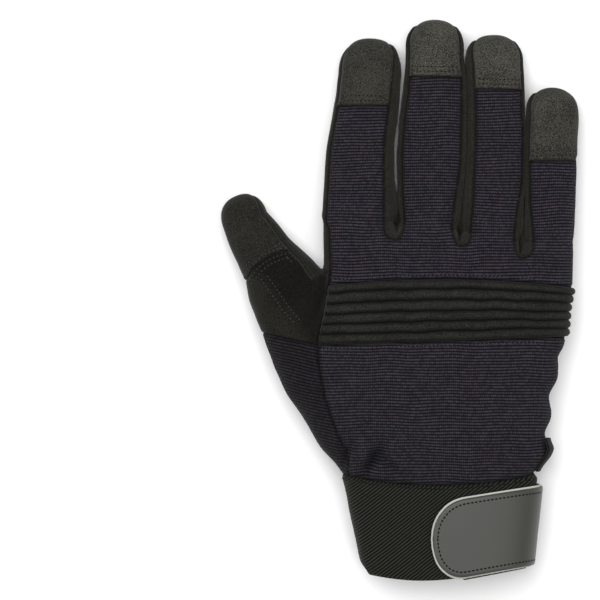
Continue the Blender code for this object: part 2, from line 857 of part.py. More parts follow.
def tip_side(finger, end):
    number = 1 if end > 0 else 0

    def place(q, share):
        top = rim_angle(tip_seam_shares(finger, 1)[number], 1)
        low = rim_angle(tip_seam_shares(finger, -1)[number], -1)
        angle = mix(top, low, q)
        start = Vector((end * math.cos(angle), 0.0, math.sin(angle)))
        corner = TIP_CORNER if end > 0 else math.pi - TIP_CORNER
        return tip_place(finger, start, corner, share)

    return place


def add_strip(skin, columns, rows, last_row, first_row, place, panel_of):
    """Adds one strip to the skin: a grid bent by place(u, at), its faces marked by panel."""
    panels = skin.faces.layers.int["panel"]
    lines = skin.verts.layers.float["row"]
    grid = bmesh.ops.create_grid(skin, x_segments=columns, y_segments=rows, size=0.5)
    verts = grid["verts"]
    for face in {face for vert in verts for face in vert.link_faces}:
        centre = face.calc_center_median()
        column = int((centre.x + 0.5) * columns)
        row = int((centre.y + 0.5) * rows)
        face[panels] = PANEL_NUMBER[panel_of(column, row)]
    for vert in verts:
        u = round((vert.co.x + 0.5) * columns) / columns
        at = mix(first_row, last_row, round((vert.co.y + 0.5) * rows) / rows)
        vert[lines] = at
        vert.co = place(u, at)


def back_panel(row):
    """Panel of a row of the hand's back: cuff, lower knit, pleated band, upper knit."""
    if row < WRIST_ROW:
        return "cuff_band"
    if row < BAND_ROW:
        return "back_panel_lower"
    return "knuckle_band" if row < BAND_END_ROW else "back_panel_upper"


def palm_side(row):
    return "cuff_band" if row < WRIST_ROW else "palm_panel"


def thumb_part(row, suede):
    if row < WRIST_ROW:
        return "cuff_band"
    return "thumb_gusset" if row < BAND_ROW else suede


def add_body(skin):
    rows = (CROTCH_ROW, CROTCH_ROW, 0)
    for finger in range(4):
        add_strip(
            skin, TOP_FACES, *rows, body_finger_strip(finger, 1), lambda c, r: back_panel(r)
        )
        add_strip(
            skin, TOP_FACES, *rows, body_finger_strip(finger, -1), lambda c, r: palm_side(r)
        )
    for web in range(3):
        add_strip(
            skin, WEB_FACES, *rows, body_web_strip(web, 1), lambda c, r: back_panel(r)
        )
        add_strip(
            skin, WEB_FACES, *rows, body_web_strip(web, -1), lambda c, r: palm_side(r)
        )
    for side, suede in ((1, "thumb_back"), (-1, "thumb_palm")):
        parts = lambda c, r, suede=suede: thumb_part(r, suede)
        add_strip(skin, TOP_FACES, *rows, body_thumb_strip(side), parts)
        add_strip(skin, WEB_FACES, *rows, body_thumb_web(side), parts)
    add_strip(
        skin,
        SIDE_FACES,
        *rows,
        body_side(1),
        lambda c, r: back_panel(r) if c < SIDE_FACES / 2 else palm_side(r),
    )
    add_strip(
        skin, SIDE_FACES, *rows, body_side(-1), lambda c, r: thumb_part(r, "thumb_back")
    )


def add_hand(skin):
    rows = (HAND_ROWS, HAND_ROWS, 0)
    upper = lambda c, r: "back_panel_upper"
    palm = lambda c, r: "palm_panel"
    for finger in range(4):
        add_strip(skin, TOP_FACES, *rows, hand_finger_strip(finger, 1), upper)
        add_strip(skin, TOP_FACES, *rows, hand_finger_strip(finger, -1), palm)
    for web in range(3):
        name = FOURCHETTES[web]
        loop = lambda c, r, name=name: "back_panel_upper" if r < 1 else name
        low = lambda c, r, name=name: "palm_panel" if r < HAND_ROWS - 1 else name
        add_strip(skin, WEB_FACES, *rows, hand_web_strip(web, 1), loop)
        add_strip(skin, WEB_FACES, *rows, hand_web_strip(web, -1), low)
    strip = lambda c, r: "thumb_index_side_strip"
    edge = lambda c, r: "back_panel_upper" if c < SIDE_FACES / 2 else "palm_panel"
    add_strip(skin, SIDE_FACES, *rows, hand_side(-1), strip)
    add_strip(skin, SIDE_FACES, *rows, hand_side(1), edge)


def side_panel(finger, end):
    """Panel of the strip at the left (end -1) or right (end 1) of a finger."""
    if finger == 0 and end < 0:
        return "thumb_index_side_strip"
    return FOURCHETTES[finger if end > 0 else finger - 1]


def add_finger(skin, finger):
    count = LOWER_ROWS + CAP_ROWS
    rows = (count, count, 0)
    cap = FINGERS[finger].name + "_tip_cap"
    top = lambda c, r: "back_panel_upper" if r < LOWER_ROWS else cap
    add_strip(skin, TOP_FACES, *rows, finger_strip(finger, 1), top)
    add_strip(
        skin, TOP_FACES, *rows, finger_strip(finger, -1), lambda c, r: "palm_panel"
    )
    for end in (-1, 1):
        if finger == 3 and end > 0:
            half = SIDE_FACES / 2
            side = lambda c, r: top(c, r) if c < half else "palm_panel"
            tip = lambda c, r: cap if c < half else "palm_panel"
        else:
            side = tip = lambda c, r, end=end: side_panel(finger, end)
        add_strip(skin, SIDE_FACES, *rows, finger_side(finger, end), side)
        add_strip(skin, SIDE_FACES, TIP_FACES, 1, 0, tip_side(finger, end), tip)
    add_strip(skin, TOP_FACES, TIP_FACES, 1, 0, tip_strip(finger, 1), lambda c, r: cap)
    add_strip(
        skin, TOP_FACES, TIP_FACES, 1, 0, tip_strip(finger, -1), lambda c, r: "palm_panel"
    )


def add_thumb(skin):
    count = len(THUMB_ROWS) - 1
    rows = (count, count, 0)
    cap = "thumb_tip_cap"
    back = lambda c, r: "thumb_back" if r < THUMB_CAP_ROW else cap
    palm = lambda c, r: "thumb_palm"
    strip = lambda c, r: "thumb_index_side_strip"
    add_strip(skin, TOP_FACES, *rows, thumb_strip(1), back)
    add_strip(skin, TOP_FACES, *rows, thumb_strip(-1), palm)
    add_strip(skin, SIDE_FACES, *rows, thumb_side(-1), back)
    add_strip(skin, SIDE_FACES, *rows, thumb_side(1), strip)
    add_strip(skin, TOP_FACES, TIP_FACES, 1, 0, tip_strip(4, 1), lambda c, r: cap)
    add_strip(skin, TOP_FACES, TIP_FACES, 1, 0, tip_strip(4, -1), palm)
    add_strip(skin, SIDE_FACES, TIP_FACES, 1, 0, tip_side(4, -1), lambda c, r: cap)
    add_strip(skin, SIDE_FACES, TIP_FACES, 1, 0, tip_side(4, 1), strip)


def make_skin():
    """The glove's outer surface as one open mesh, with the outward normal kept per vertex."""
    skin = bmesh.new()
    skin.faces.layers.int.new("panel")
    skin.verts.layers.float.new("row")
    normals = skin.verts.layers.float_vector.new("outward")
    add_body(skin)
    add_hand(skin)
    for finger in range(4):
        add_finger(skin, finger)
    add_thumb(skin)
    bmesh.ops.remove_doubles(skin, verts=skin.verts[:], dist=0.02)
    bmesh.ops.dissolve_degenerate(skin, edges=skin.edges[:], dist=0.001)
    bmesh.ops.recalc_face_normals(skin, faces=skin.faces[:])
    top = max(skin.faces, key=lambda face: face.calc_center_median().z)
    if top.normal.z < 0:
        bmesh.ops.reverse_faces(skin, faces=skin.faces[:])
    skin.normal_update()
    for vert in skin.verts:
        vert[normals] = vert.normal
    return skin


def piece_of(skin, keep):
    """Copy of the skin with only the faces that keep(face, panel number) accepts."""
    piece = skin.copy()
    numbers = piece.faces.layers.int["panel"]
    drop = [face for face in piece.faces if not keep(face, face[numbers])]
    bmesh.ops.delete(piece, geom=drop, context="FACES")
    return piece


def inward_step(vert, normal):
    """Direction from a border vertex into its piece, longer at a sharp corner."""
    ways = []
    for edge in vert.link_edges:
        if not edge.is_boundary:
            continue
        face = edge.link_faces[0]
        run = (edge.other_vert(vert).co - vert.co).normalized()
        way = normal.cross(run).normalized()
        middle = face.calc_center_median() - (edge.verts[0].co + edge.verts[1].co) / 2
        ways.append(way if way.dot(middle) > 0 else -way)
    if len(ways) != 2:
        return sum(ways, Vector()).normalized() if ways else Vector()
    total = ways[0] + ways[1]
    return total / max(0.4, 1 + ways[0].dot(ways[1]))


def draw_in(piece, distance):
    """Moves the piece's border in along its surface, so that it clears its neighbours."""
    normals = piece.verts.layers.float_vector["outward"]
    steps = {}
    for vert in piece.verts:
        if vert.is_boundary:
            steps[vert] = inward_step(vert, vert[normals]) * distance
    for vert, step in steps.items():
        vert.co += step


def stand_out(piece, distance_of):
    normals = piece.verts.layers.float_vector["outward"]
    for vert in piece.verts:
        vert.co += vert[normals] * distance_of(vert)


def add_wall(piece, wall):
    """Turns the open surface into a closed wall that lies inside it."""
    normals = piece.verts.layers.float_vector["outward"]
    result = bmesh.ops.extrude_face_region(
        piece, geom=piece.faces[:], use_keep_orig=True
    )
    for vert in result["geom"]:
        if isinstance(vert, bmesh.types.BMVert):
            vert.co -= vert[normals] * wall
    bmesh.ops.recalc_face_normals(piece, faces=piece.faces[:])


def cut_pleats(piece):
    """Splits the band across the hand, so that its pleats can be raised."""
    lines = piece.verts.layers.float["row"]
    along = [
        edge for edge in piece.edges if abs(edge.verts[0][lines] - edge.verts[1][lines]) > 0.5
    ]
    bmesh.ops.subdivide_edges(piece, edges=along, cuts=PLEAT_CUTS, use_grid_fill=True)


def raise_pleats(piece):
    lines = piece.verts.layers.float["row"]

    def rise(vert):
        share = (vert[lines] - BAND_ROW) / (BAND_END_ROW - BAND_ROW)
        wave = abs(math.sin(math.pi * PLEATS * share)) ** 0.7
        return PLEAT_HEIGHT * wave * (0.3 if vert.is_boundary else 1.0)

    stand_out(piece, rise)


def material_named(name):
    colour, roughness = MATERIALS[name]
    material = bpy.data.materials.new(name)
    material.use_nodes = True
    shader = material.node_tree.nodes["Principled BSDF"]
    shader.inputs["Base Color"].default_value = (*colour, 1.0)
    shader.inputs["Roughness"].default_value = roughness
    material.diffuse_color = (*colour, 1.0)
    return material


def make_object(piece, name, material, collection):
    for vert in piece.verts:
        vert.co *= MM
    for face in piece.faces:
        face.smooth = True
    mesh = bpy.data.meshes.new(name)
    piece.to_mesh(mesh)
    piece.free()
    mesh.materials.append(material_named(material))
    collection.objects.link(bpy.data.objects.new(name, mesh))


def make_panels(skin, collection):
    for panel in PANELS:
        number = PANEL_NUMBER[panel.name]
        piece = piece_of(skin, lambda face, panel_number: panel_number == number)
        draw_in(piece, SEAM_GAP / 2)
        if panel.name == "knuckle_band":
            cut_pleats(piece)
            raise_pleats(piece)
        else:
            stand_out(piece, lambda vert: panel.out)
        add_wall(piece, panel.wall)
        make_object(piece, panel.name, panel.material, collection)


def on_tab(centre):
    """Whether a face below the fingers lies on the patch, whose tabs leave a side bare."""
    if centre.y < WRIST_Y + TABS_FROM * PALM_LENGTH:
        return True
    for finger in range(3):
        section = finger_section(finger, along_at(finger, centre.y))
        if section.left < centre.x < section.right:
            return share_at(section, centre.x) < TABS_REACH
    return False


def make_upper_patch(skin, collection):
    """Patch over the finger roots of the palm, with a tab up three of the fingers."""
    reach = WRIST_Y + 1.02 * PALM_LENGTH
    right = KNUCKLE_CENTRE + WEBS[2].x * KNUCKLE_WIDTH - 3.0
    top = WRIST_Y + 1.60 * PALM_LENGTH

    def keep(face, number):
        centre = face.calc_center_median()
        inside = reach < centre.y < top and centre.x < right
        palm = number == PANEL_NUMBER["palm_panel"]
        return palm and inside and face.normal.z < -0.6 and on_tab(centre)

    piece = piece_of(skin, keep)
    draw_in(piece, 0.9)
    stand_out(piece, lambda vert: LAYER_GAP + PATCH_WALL)
    add_wall(piece, PATCH_WALL)
    make_object(piece, "palm_patch_upper", "patch_suede_upper", collection)


def row_through(x, y, level):
    """Number of the row of the hand that passes through a point in plan."""
    low, high = 0.0, float(CROTCH_ROW)
    for _ in range(30):
        middle = (low + high) / 2
        if row_y(body_row(middle), x, level) < y:
            low = middle
        else:
            high = middle
    return (low + high) / 2


def palm_height(x, y):
    at = row_through(x, y, 1.0)
    row = body_row(at)
    return body_height(row, at, x, -1, hand_section(row))


def sheet(columns, rows, place):
    """Open grid bent by place(u, v), with its own outward normals kept."""
    piece = bmesh.new()
    normals = piece.verts.layers.float_vector.new("outward")
    grid = bmesh.ops.create_grid(piece, x_segments=columns, y_segments=rows, size=0.5)
    for vert in grid["verts"]:
        vert.co = place(vert.co.x + 0.5, vert.co.y + 0.5)
    piece.normal_update()
    return piece, normals


def keep_normals(piece, normals, facing):
    """Keeps each vertex's normal, turned to the side that facing(normal) accepts."""
    middle = sum((vert.normal for vert in piece.verts), Vector())
    if not facing(middle):
        bmesh.ops.reverse_faces(piece, faces=piece.faces[:])
        piece.normal_update()
    for vert in piece.verts:
        vert[normals] = vert.normal


# Lower edge of the palm's lower patch: x as a share of KNUCKLE_WIDTH, along of PALM_LENGTH.
LOWER_PATCH_EDGE = (
    (-0.50, 0.690),
    (-0.34, 0.535),
    (-0.15, 0.395),
    (-0.05, 0.353),
    (0.25, 0.343),
    (0.42, 0.360),
)


def make_lower_patch(collection):
    left = KNUCKLE_CENTRE - 0.44 * KNUCKLE_WIDTH
    row = BODY[CROTCH_ROW]

    def place(u, v):
        right = KNUCKLE_CENTRE + mix(0.325, 0.40, v) * KNUCKLE_WIDTH
        x = mix(left, right, u)
        low = between(LOWER_PATCH_EDGE, (x - KNUCKLE_CENTRE) / KNUCKLE_WIDTH)
        y = mix(WRIST_Y + low * PALM_LENGTH, row_y(row, x, 1.0) - 1.5, v)
        return Vector((x, y, palm_height(x, y)))

    piece, normals = sheet(20, 8, place)
    keep_normals(piece, normals, lambda way: way.z < 0)
    stand_out(piece, lambda vert: LAYER_GAP + PATCH_WALL)
    add_wall(piece, PATCH_WALL)
    make_object(piece, "palm_patch_lower", "patch_suede_lower", collection)


def strap_point(angle, y):
    """Point of the cuff's surface at an angle round its section and at y."""
    at = 1.0
    for _ in range(3):
        section = wide_section(body_row(at))
        point = rim(section, 1, angle)
        at = row_through(point.x, y, 0.0)
    return Vector((point.x, y, point.y))


def angle_of_x(x, y):
    """Angle round the cuff's section at x, past a right angle left of its middle."""
    share = share_at(wide_section(body_row(row_through(x, y, 0.0))), x)
    return math.acos(signed_power(share, TOP_POWER / 2))


TAB_END_X = wide_section(body_row(1.0)).right - TAB_LENGTH
TAB_EDGE_Y = WRIST_Y - 0.477 * CUFF_LENGTH
TAB_SLOPE = 0.17
TAB_NOSE = 0.45 * TAB_WIDTH
TAB_WRAP = math.radians(-12.0)

# The loop patch under the tab: where it starts, how far it reaches round and down, its width
LOOP_START = 10.0
LOOP_WRAP = 0.35
LOOP_DROP = 3.4
LOOP_NOSE = 4.0
LOOP_WIDTH = 0.88 * TAB_WIDTH


def strap_sheet(nose_x, wrap, half_width, offset_y, nose, columns):
    """Open sheet over the cuff, from a round nose on the back to round the wrist's edge."""
    start = angle_of_x(nose_x, TAB_EDGE_Y)
    edge = wide_section(body_row(1.0)).right

    def place(u, v):
        angle = mix(start, wrap, u)
        flat_x = strap_point(angle, TAB_EDGE_Y).x
        x = flat_x if angle > 0 else 2 * edge - flat_x
        centre = TAB_EDGE_Y + offset_y - TAB_SLOPE * (edge - x)
        share = min(1.0, max(0.0, (flat_x - nose_x) / nose)) if angle > 0 else 1.0
        half = half_width * max(0.3, (1 - (1 - share) ** 2.2) ** (1 / 2.2))
        return strap_point(angle, centre + half * (2 * v - 1))

    piece, normals = sheet(columns, 6, place)
    keep_normals(piece, normals, lambda way: way.z > 0)
    return piece


def make_strap(collection):
    """The hook and loop fastener: a loop patch on the cuff, a pale backing and the tab's face."""
    out = 0.6 + LAYER_GAP
    loop = strap_sheet(
        TAB_END_X + LOOP_START, LOOP_WRAP, LOOP_WIDTH / 2, -LOOP_DROP, LOOP_NOSE, 14
    )
    stand_out(loop, lambda vert: out + BACKING_WALL)
    add_wall(loop, BACKING_WALL)
    make_object(loop, "loop_patch", "loop_fabric", collection)
    out += BACKING_WALL + LAYER_GAP
    backing = strap_sheet(
        TAB_END_X - BACKING_RIM, TAB_WRAP, TAB_WIDTH / 2 + BACKING_RIM, 0.0, TAB_NOSE, 22
    )
    stand_out(backing, lambda vert: out + BACKING_WALL)
    add_wall(backing, BACKING_WALL)
    make_object(backing, "tab_backing", "white_backing", collection)
    out += BACKING_WALL + LAYER_GAP
    face = strap_sheet(TAB_END_X, TAB_WRAP, TAB_WIDTH / 2, 0.0, TAB_NOSE, 22)
    stand_out(face, lambda vert: out + TAB_WALL)
    add_wall(face, TAB_WALL)
    make_object(face, "strap_tab", "grey_rubber", collection)


def make_vent_flap(collection):
    """Small flap that stands out from the hand's edge above the cuff."""
    start, end = WRIST_ROW + 0.12, WRIST_ROW + 1.55

    def place(u, v):
        at = mix(start, end, v)
        row = body_row(at)
        section = wide_section(row)
        point = rim(section, 1, mix(FLAP_TOP, FLAP_LOW, u))
        return finish(point, row, 0.0)

    piece, normals = sheet(6, 6, place)
    keep_normals(piece, normals, lambda way: way.x > 0)
    ends = [vert.co.y for vert in piece.verts]
    low, high = min(ends), max(ends)

    def rise(vert):
        share = (vert.co.y - low) / (high - low)
        free = ease(min(share * 1.2, (1 - share) / FLAP_TAPER))
        return LAYER_GAP + SUEDE_WALL + FLAP_BULGE * free

    stand_out(piece, rise)
    add_wall(piece, SUEDE_WALL)
    make_object(piece, "wrist_vent_flap", "flap_suede", collection)


def centre_on_base(collection):
    """Moves the glove so that the middle of its base lies at the world's origin."""
    points = [vert.co for item in collection.objects for vert in item.data.vertices]
    low = Vector(min(point[i] for point in points) for i in range(3))
    high = Vector(max(point[i] for point in points) for i in range(3))
    shift = Vector((-(low.x + high.x) / 2, -(low.y + high.y) / 2, -low.z))
    for item in collection.objects:
        item.data.transform(Matrix.Translation(shift))


def main():
    for item in list(bpy.data.objects):
        bpy.data.objects.remove(item)
    collection = bpy.data.collections.new("mechanic_glove")
    bpy.context.scene.collection.children.link(collection)
    skin = make_skin()
    make_panels(skin, collection)
    make_upper_patch(skin, collection)
    skin.free()
    make_lower_patch(collection)
    make_strap(collection)
    make_vent_flap(collection)
    centre_on_base(collection)


main()
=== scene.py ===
"""Looks of the mechanic glove: fine panels with their seams, pleats and folds, thread, cloth and
rubber finishes, a pale floor, soft light and the camera.

Sizes are in millimetres and become metres when a mesh is made. The outer skin is made first, as
strips that run along the hand, each a fine grid bent to its place. Every panel is cut from it.
"""

import math
from collections import namedtuple
from functools import lru_cache

import bmesh
import bpy
from mathutils import Matrix, Vector, noise
from mathutils.bvhtree import BVHTree
from mathutils.kdtree import KDTree


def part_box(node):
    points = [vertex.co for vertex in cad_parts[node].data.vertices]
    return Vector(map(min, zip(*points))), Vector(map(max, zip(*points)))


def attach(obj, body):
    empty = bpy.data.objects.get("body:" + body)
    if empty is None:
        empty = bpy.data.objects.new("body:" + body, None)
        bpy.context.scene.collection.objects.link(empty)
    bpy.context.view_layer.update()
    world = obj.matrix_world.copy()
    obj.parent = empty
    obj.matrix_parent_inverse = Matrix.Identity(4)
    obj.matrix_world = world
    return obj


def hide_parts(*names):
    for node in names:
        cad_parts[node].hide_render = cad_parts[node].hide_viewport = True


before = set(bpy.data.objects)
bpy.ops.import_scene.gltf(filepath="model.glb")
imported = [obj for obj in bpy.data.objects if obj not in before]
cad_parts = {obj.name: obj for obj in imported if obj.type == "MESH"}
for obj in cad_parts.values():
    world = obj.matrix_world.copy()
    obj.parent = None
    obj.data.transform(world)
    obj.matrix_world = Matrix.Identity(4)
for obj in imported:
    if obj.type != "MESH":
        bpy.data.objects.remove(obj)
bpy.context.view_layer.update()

MM = 0.001

# Main sizes of the glove
PALM_LENGTH = 88.5
KNUCKLE_WIDTH = 106.3
KNUCKLE_CENTRE = 22.15
WRIST_Y = -76.0
PALM_THICKNESS = 28.0
CUFF_LENGTH = 44.0
THUMB_LENGTH = 48.0
THUMB_THICKNESS = 21.0
THUMB_BOW = 3.0
FINGER_THICKNESS = 20.0
INDEX_LENGTH = 79.1
MIDDLE_LENGTH = 89.0
RING_LENGTH = 87.2
LITTLE_LENGTH = 67.0
TAB_LENGTH = 43.3
TAB_WIDTH = 33.6

# Walls, gaps and small features
LAYER_GAP = 0.3
SUEDE_WALL = 1.2
CAP_WALL = 1.5
KNIT_WALL = 1.5
CUFF_WALL = 2.0
CUFF_OUT = 0.6  # how far the cuff stands out from the skin
PATCH_WALL = 1.0
TAB_WALL = 1.0
BACKING_WALL = 0.7
BACKING_RIM = 0.7
PLEATS = 6
PLEAT_HEIGHT = 1.7
CROTCH_BULGE = 5.0
PALM_WEB_SHIFT = 10.0
WEB_VALLEY = 3.6
LOOP_ROUND = 3.5
PALM_VALLEY = 1.6
WEB_START = 0.25  # depth of a web at the thumb's crotch, as a share of its full depth
CROTCH_INSET = 0.077  # from the seam to the thumb's crotch, as a share of the way to the edge
TABS_FROM = 1.345  # where the palm patch parts into tabs, as a share of PALM_LENGTH
TABS_REACH = 0.45  # right edge of each tab, as a share of the finger's half width
FLAP_BULGE = 1.9
FLAP_TAPER = 0.35  # share of the flap's length over which its top comes back to the glove
FLAP_TOP = 0.34  # angles round the hand's edge, in radians
FLAP_LOW = -0.30

# Roundness of the cross-sections: 2 is an ellipse, higher is flatter with tighter corners
TOP_POWER = 3.0
LOW_POWER = 3.6
TIP_POWER = 2.2
PALM_BOW = 0.3
SOLE_FLAT = 1.03  # the underside's arch is cut off flat above 1 / SOLE_FLAT of its depth
HAND_DROP = 0.42  # share of the thickness that lies below a section's widest line
FINGER_DROP = 0.45

# Rows across the hand, from the cuff's end to the thumb's crotch.
# along: share of PALM_LENGTH from the wrist, for the seam, left and right ends.
# seam, palm_seam, left, right: shares of KNUCKLE_WIDTH from the middle of the knuckles.
# bow: how far the row's middle lies ahead of its ends. thick: share of PALM_THICKNESS.
BodyRow = namedtuple(
    "BodyRow", "along seam palm_seam left left_along right right_along bow thick"
)
CUFF_ROWS = (
    BodyRow(-0.963, -0.340, -0.290, -0.368, -0.862, 0.302, -0.800, -0.050, 0.93),
    BodyRow(-0.490, -0.382, -0.320, -0.406, -0.440, 0.319, -0.405, -0.045, 0.95),
)
PALM_ROWS = (
    BodyRow(0.000, -0.423, -0.340, -0.447, 0.006, 0.342, 0.011, -0.038, 0.96),
    BodyRow(0.113, -0.438, -0.378, -0.540, 0.147, 0.381, 0.124, -0.019, 1.00),
    BodyRow(0.232, -0.477, -0.430, -0.615, 0.299, 0.388, 0.237, -0.009, 1.03),
    BodyRow(0.362, -0.514, -0.480, -0.679, 0.412, 0.401, 0.373, 0.000, 1.04),
    BodyRow(0.497, -0.538, -0.515, -0.730, 0.542, 0.426, 0.520, 0.005, 1.03),
    BodyRow(0.641, -0.547, -0.520, -0.774, 0.701, 0.458, 0.680, 0.000, 1.00),
    BodyRow(0.785, -0.528, -0.495, -0.786, 0.741, 0.470, 0.802, 0.011, 0.97),
    BodyRow(0.930, -0.506, -0.475, -0.796, 0.774, 0.486, 0.920, 0.028, 0.94),
    BodyRow(1.000, -0.500, -0.467, -0.805, 0.800, 0.490, 0.989, 0.028, 0.92),
)
WRIST_ROW = 2
BAND_ROW = 7
BAND_END_ROW = 9
CROTCH_ROW = 10

# Where each crotch lies, as shares: x of KNUCKLE_WIDTH from its middle, along of PALM_LENGTH.
# loop_x, loop_along: the bottom of the suede loop on the back. left, right: seam places
# across the hand at the thumb's crotch, 0 at the index seam and 1 at the little finger's edge.
Web = namedtuple("Web", "x along loop_x loop_along left right")
WEBS = (
    Web(-0.217, 1.243, -0.267, 1.198, 0.225, 0.255),
    Web(0.032, 1.198, 0.035, 1.168, 0.528, 0.558),
    Web(0.290, 1.140, 0.273, 1.105, 0.770, 0.800),
)
LITTLE_EDGE_PLACE = 0.972

# Sides of each finger: along as a share of its length, edges as shares of KNUCKLE_WIDTH.
FingerRow = namedtuple("FingerRow", "along left right")
INDEX_ROWS = (
    FingerRow(0.000, -0.531, -0.227),
    FingerRow(0.379, -0.510, -0.240),
    FingerRow(0.633, -0.479, -0.222),
    FingerRow(0.809, -0.459, -0.211),
)
MIDDLE_ROWS = (
    FingerRow(0.000, -0.211, 0.026),
    FingerRow(0.358, -0.222, 0.055),
    FingerRow(0.689, -0.194, 0.056),
    FingerRow(0.846, -0.183, 0.046),
)
RING_ROWS = (
    FingerRow(0.000, 0.036, 0.285),
    FingerRow(0.424, 0.060, 0.294),
    FingerRow(0.722, 0.061, 0.290),
    FingerRow(0.853, 0.057, 0.283),
)
LITTLE_ROWS = (
    FingerRow(0.000, 0.296, 0.495),
    FingerRow(0.225, 0.299, 0.502),
    FingerRow(0.524, 0.302, 0.507),
    FingerRow(0.825, 0.307, 0.512),
)
# Seams on the back, as shares of the half width: at the hand, then along the finger.
# palm_left, palm_right: the seams below. cap: share of the finger below the cap's edge.
Finger = namedtuple(
    "Finger", "name length rows left left_tip right right_tip palm_left palm_right cap"
)
FINGERS = (
    Finger("index", INDEX_LENGTH, INDEX_ROWS, 0.91, 0.92, 0.66, 0.71, 0.60, 0.80, 0.783),
    Finger("middle", MIDDLE_LENGTH, MIDDLE_ROWS, 0.92, 0.89, 0.77, 0.85, 0.80, 0.80, 0.86),
    Finger("ring", RING_LENGTH, RING_ROWS, 0.73, 0.73, 0.72, 0.95, 0.80, 0.80, 0.858),
    Finger("little", LITTLE_LENGTH, LITTLE_ROWS, 0.69, 0.88, 0.90, 0.90, 0.80, 0.90, 0.640),
)
# Rows along a finger: up to its cap, and under the cap
LOWER_ROWS = 4
CAP_ROWS = 2
SEAM_RUN = 0.3  # share of a finger over which its seams reach their place at the tip

# Numbers of the fingers from the index finger, and of the thumb after them
INDEX = 0
LITTLE = 3
THUMB = 4

# Thickness of a finger and height of its underside, against the share of its length.
FINGER_THICKNESS_ROWS = ((0.0, 1.0), (0.35, 0.88), (0.6, 0.81), (0.85, 0.73))
FINGER_LIFT_ROWS = ((0.0, 1.0), (0.45, 1.0), (0.7, 0.35), (0.85, 0.0))

# The thumb: along and aside as shares of THUMB_LENGTH, width as a share of its root's.
# turn: degrees that the row turns from the root's. thick: share of THUMB_THICKNESS.
ThumbRow = namedtuple("ThumbRow", "along aside width turn thick")
THUMB_ROWS = (
    ThumbRow(0.000, 0.000, 1.000, 0.0, 1.00),
    ThumbRow(0.137, -0.006, 0.945, 2.0, 0.97),
    ThumbRow(0.317, -0.014, 0.783, 5.0, 0.90),
    ThumbRow(0.442, -0.025, 0.708, 3.0, 0.85),
    ThumbRow(0.619, -0.024, 0.647, -4.0, 0.78),
    ThumbRow(0.769, -0.032, 0.566, -8.0, 0.72),
)
THUMB_CAP_ROW = 2

# The thumb's seams on the back and below, as shares of its half width
THUMB_SEAMS = {"left": 0.93, "right": 0.75, "palm_left": 0.60, "palm_right": 0.75}

# Angle round the fingertip at which its side strip ends
TIP_CORNER = math.radians(60.0)
TINY_ANGLE = 1e-6

# Faces across each strip: over a finger, between two and round an edge
TOP_FACES = 4
WEB_FACES = 2
SIDE_FACES = 4
HAND_ROWS = 3  # rows from the thumb's crotch to the crotches of the fingers

# Each panel: how far it stands out from the skin, its wall and its material.
Panel = namedtuple("Panel", "name out wall material")
PANELS = (
    Panel("palm_panel", 0.0, SUEDE_WALL, "black_suede"),
    Panel("back_panel_upper", 0.0, KNIT_WALL, "navy_knit"),
    Panel("knuckle_band", 0.0, KNIT_WALL, "pleated_suede"),
    Panel("back_panel_lower", 0.0, KNIT_WALL, "navy_knit_lower"),
    Panel("thumb_gusset", 0.0, KNIT_WALL, "navy_knit_gusset"),
    Panel("thumb_back", 0.2, SUEDE_WALL, "thumb_suede"),
    Panel("thumb_tip_cap", 0.5, CAP_WALL, "cap_suede_thumb"),
    Panel("thumb_palm", 0.0, SUEDE_WALL, "thumb_palm_suede"),
    Panel("thumb_index_side_strip", 0.0, SUEDE_WALL, "side_suede"),
    Panel("fourchette_index_middle", 0.0, SUEDE_WALL, "fourchette_suede_a"),
    Panel("fourchette_middle_ring", 0.0, SUEDE_WALL, "fourchette_suede_b"),
    Panel("fourchette_ring_little", 0.0, SUEDE_WALL, "fourchette_suede_c"),
    Panel("index_tip_cap", 0.5, CAP_WALL, "cap_suede_index"),
    Panel("middle_tip_cap", 0.5, CAP_WALL, "cap_suede_middle"),
    Panel("ring_tip_cap", 0.5, CAP_WALL, "cap_suede_ring"),
    Panel("little_tip_cap", 0.5, CAP_WALL, "cap_suede_little"),
    Panel("cuff_band", CUFF_OUT, CUFF_WALL, "black_elastic"),
)
PANEL_NUMBER = {panel.name: number for number, panel in enumerate(PANELS)}
FOURCHETTES = (
    "fourchette_index_middle",
    "fourchette_middle_ring",
    "fourchette_ring_little",
)

# A cross-section: x of its ends, height of its widest line, rise above it and drop below it
Section = namedtuple("Section", "left right mid rise drop")


def mix(first, second, share):
    return first + (second - first) * share


def ease(share):
    share = min(1.0, max(0.0, share))
    return share * share * (3 - 2 * share)


def between(rows, at):
    """Value at a place in a short list of (place, value) rows, straight between them."""
    for (start, low), (end, high) in zip(rows, rows[1:]):
        if at <= end:
            return mix(low, high, max(0.0, at - start) / (end - start))
    return rows[-1][1]


def signed_power(value, power):
    return math.copysign(abs(value) ** power, value)


def spline(values, at):
    """Smooth curve through evenly numbered values."""
    last = len(values) - 1
    step = min(int(max(at, 0)), last - 1)
    share = at - step
    start, end = values[step], values[step + 1]
    before = values[step - 1] if step else 2 * start - end
    after = values[step + 2] if step + 2 <= last else 2 * end - start
    slope_in = (end - before) / 2
    slope_out = (after - start) / 2
    bend = 3 * (end - start) - 2 * slope_in - slope_out
    twist = slope_in + slope_out - 2 * (end - start)
    return start + share * (slope_in + share * (bend + share * twist))


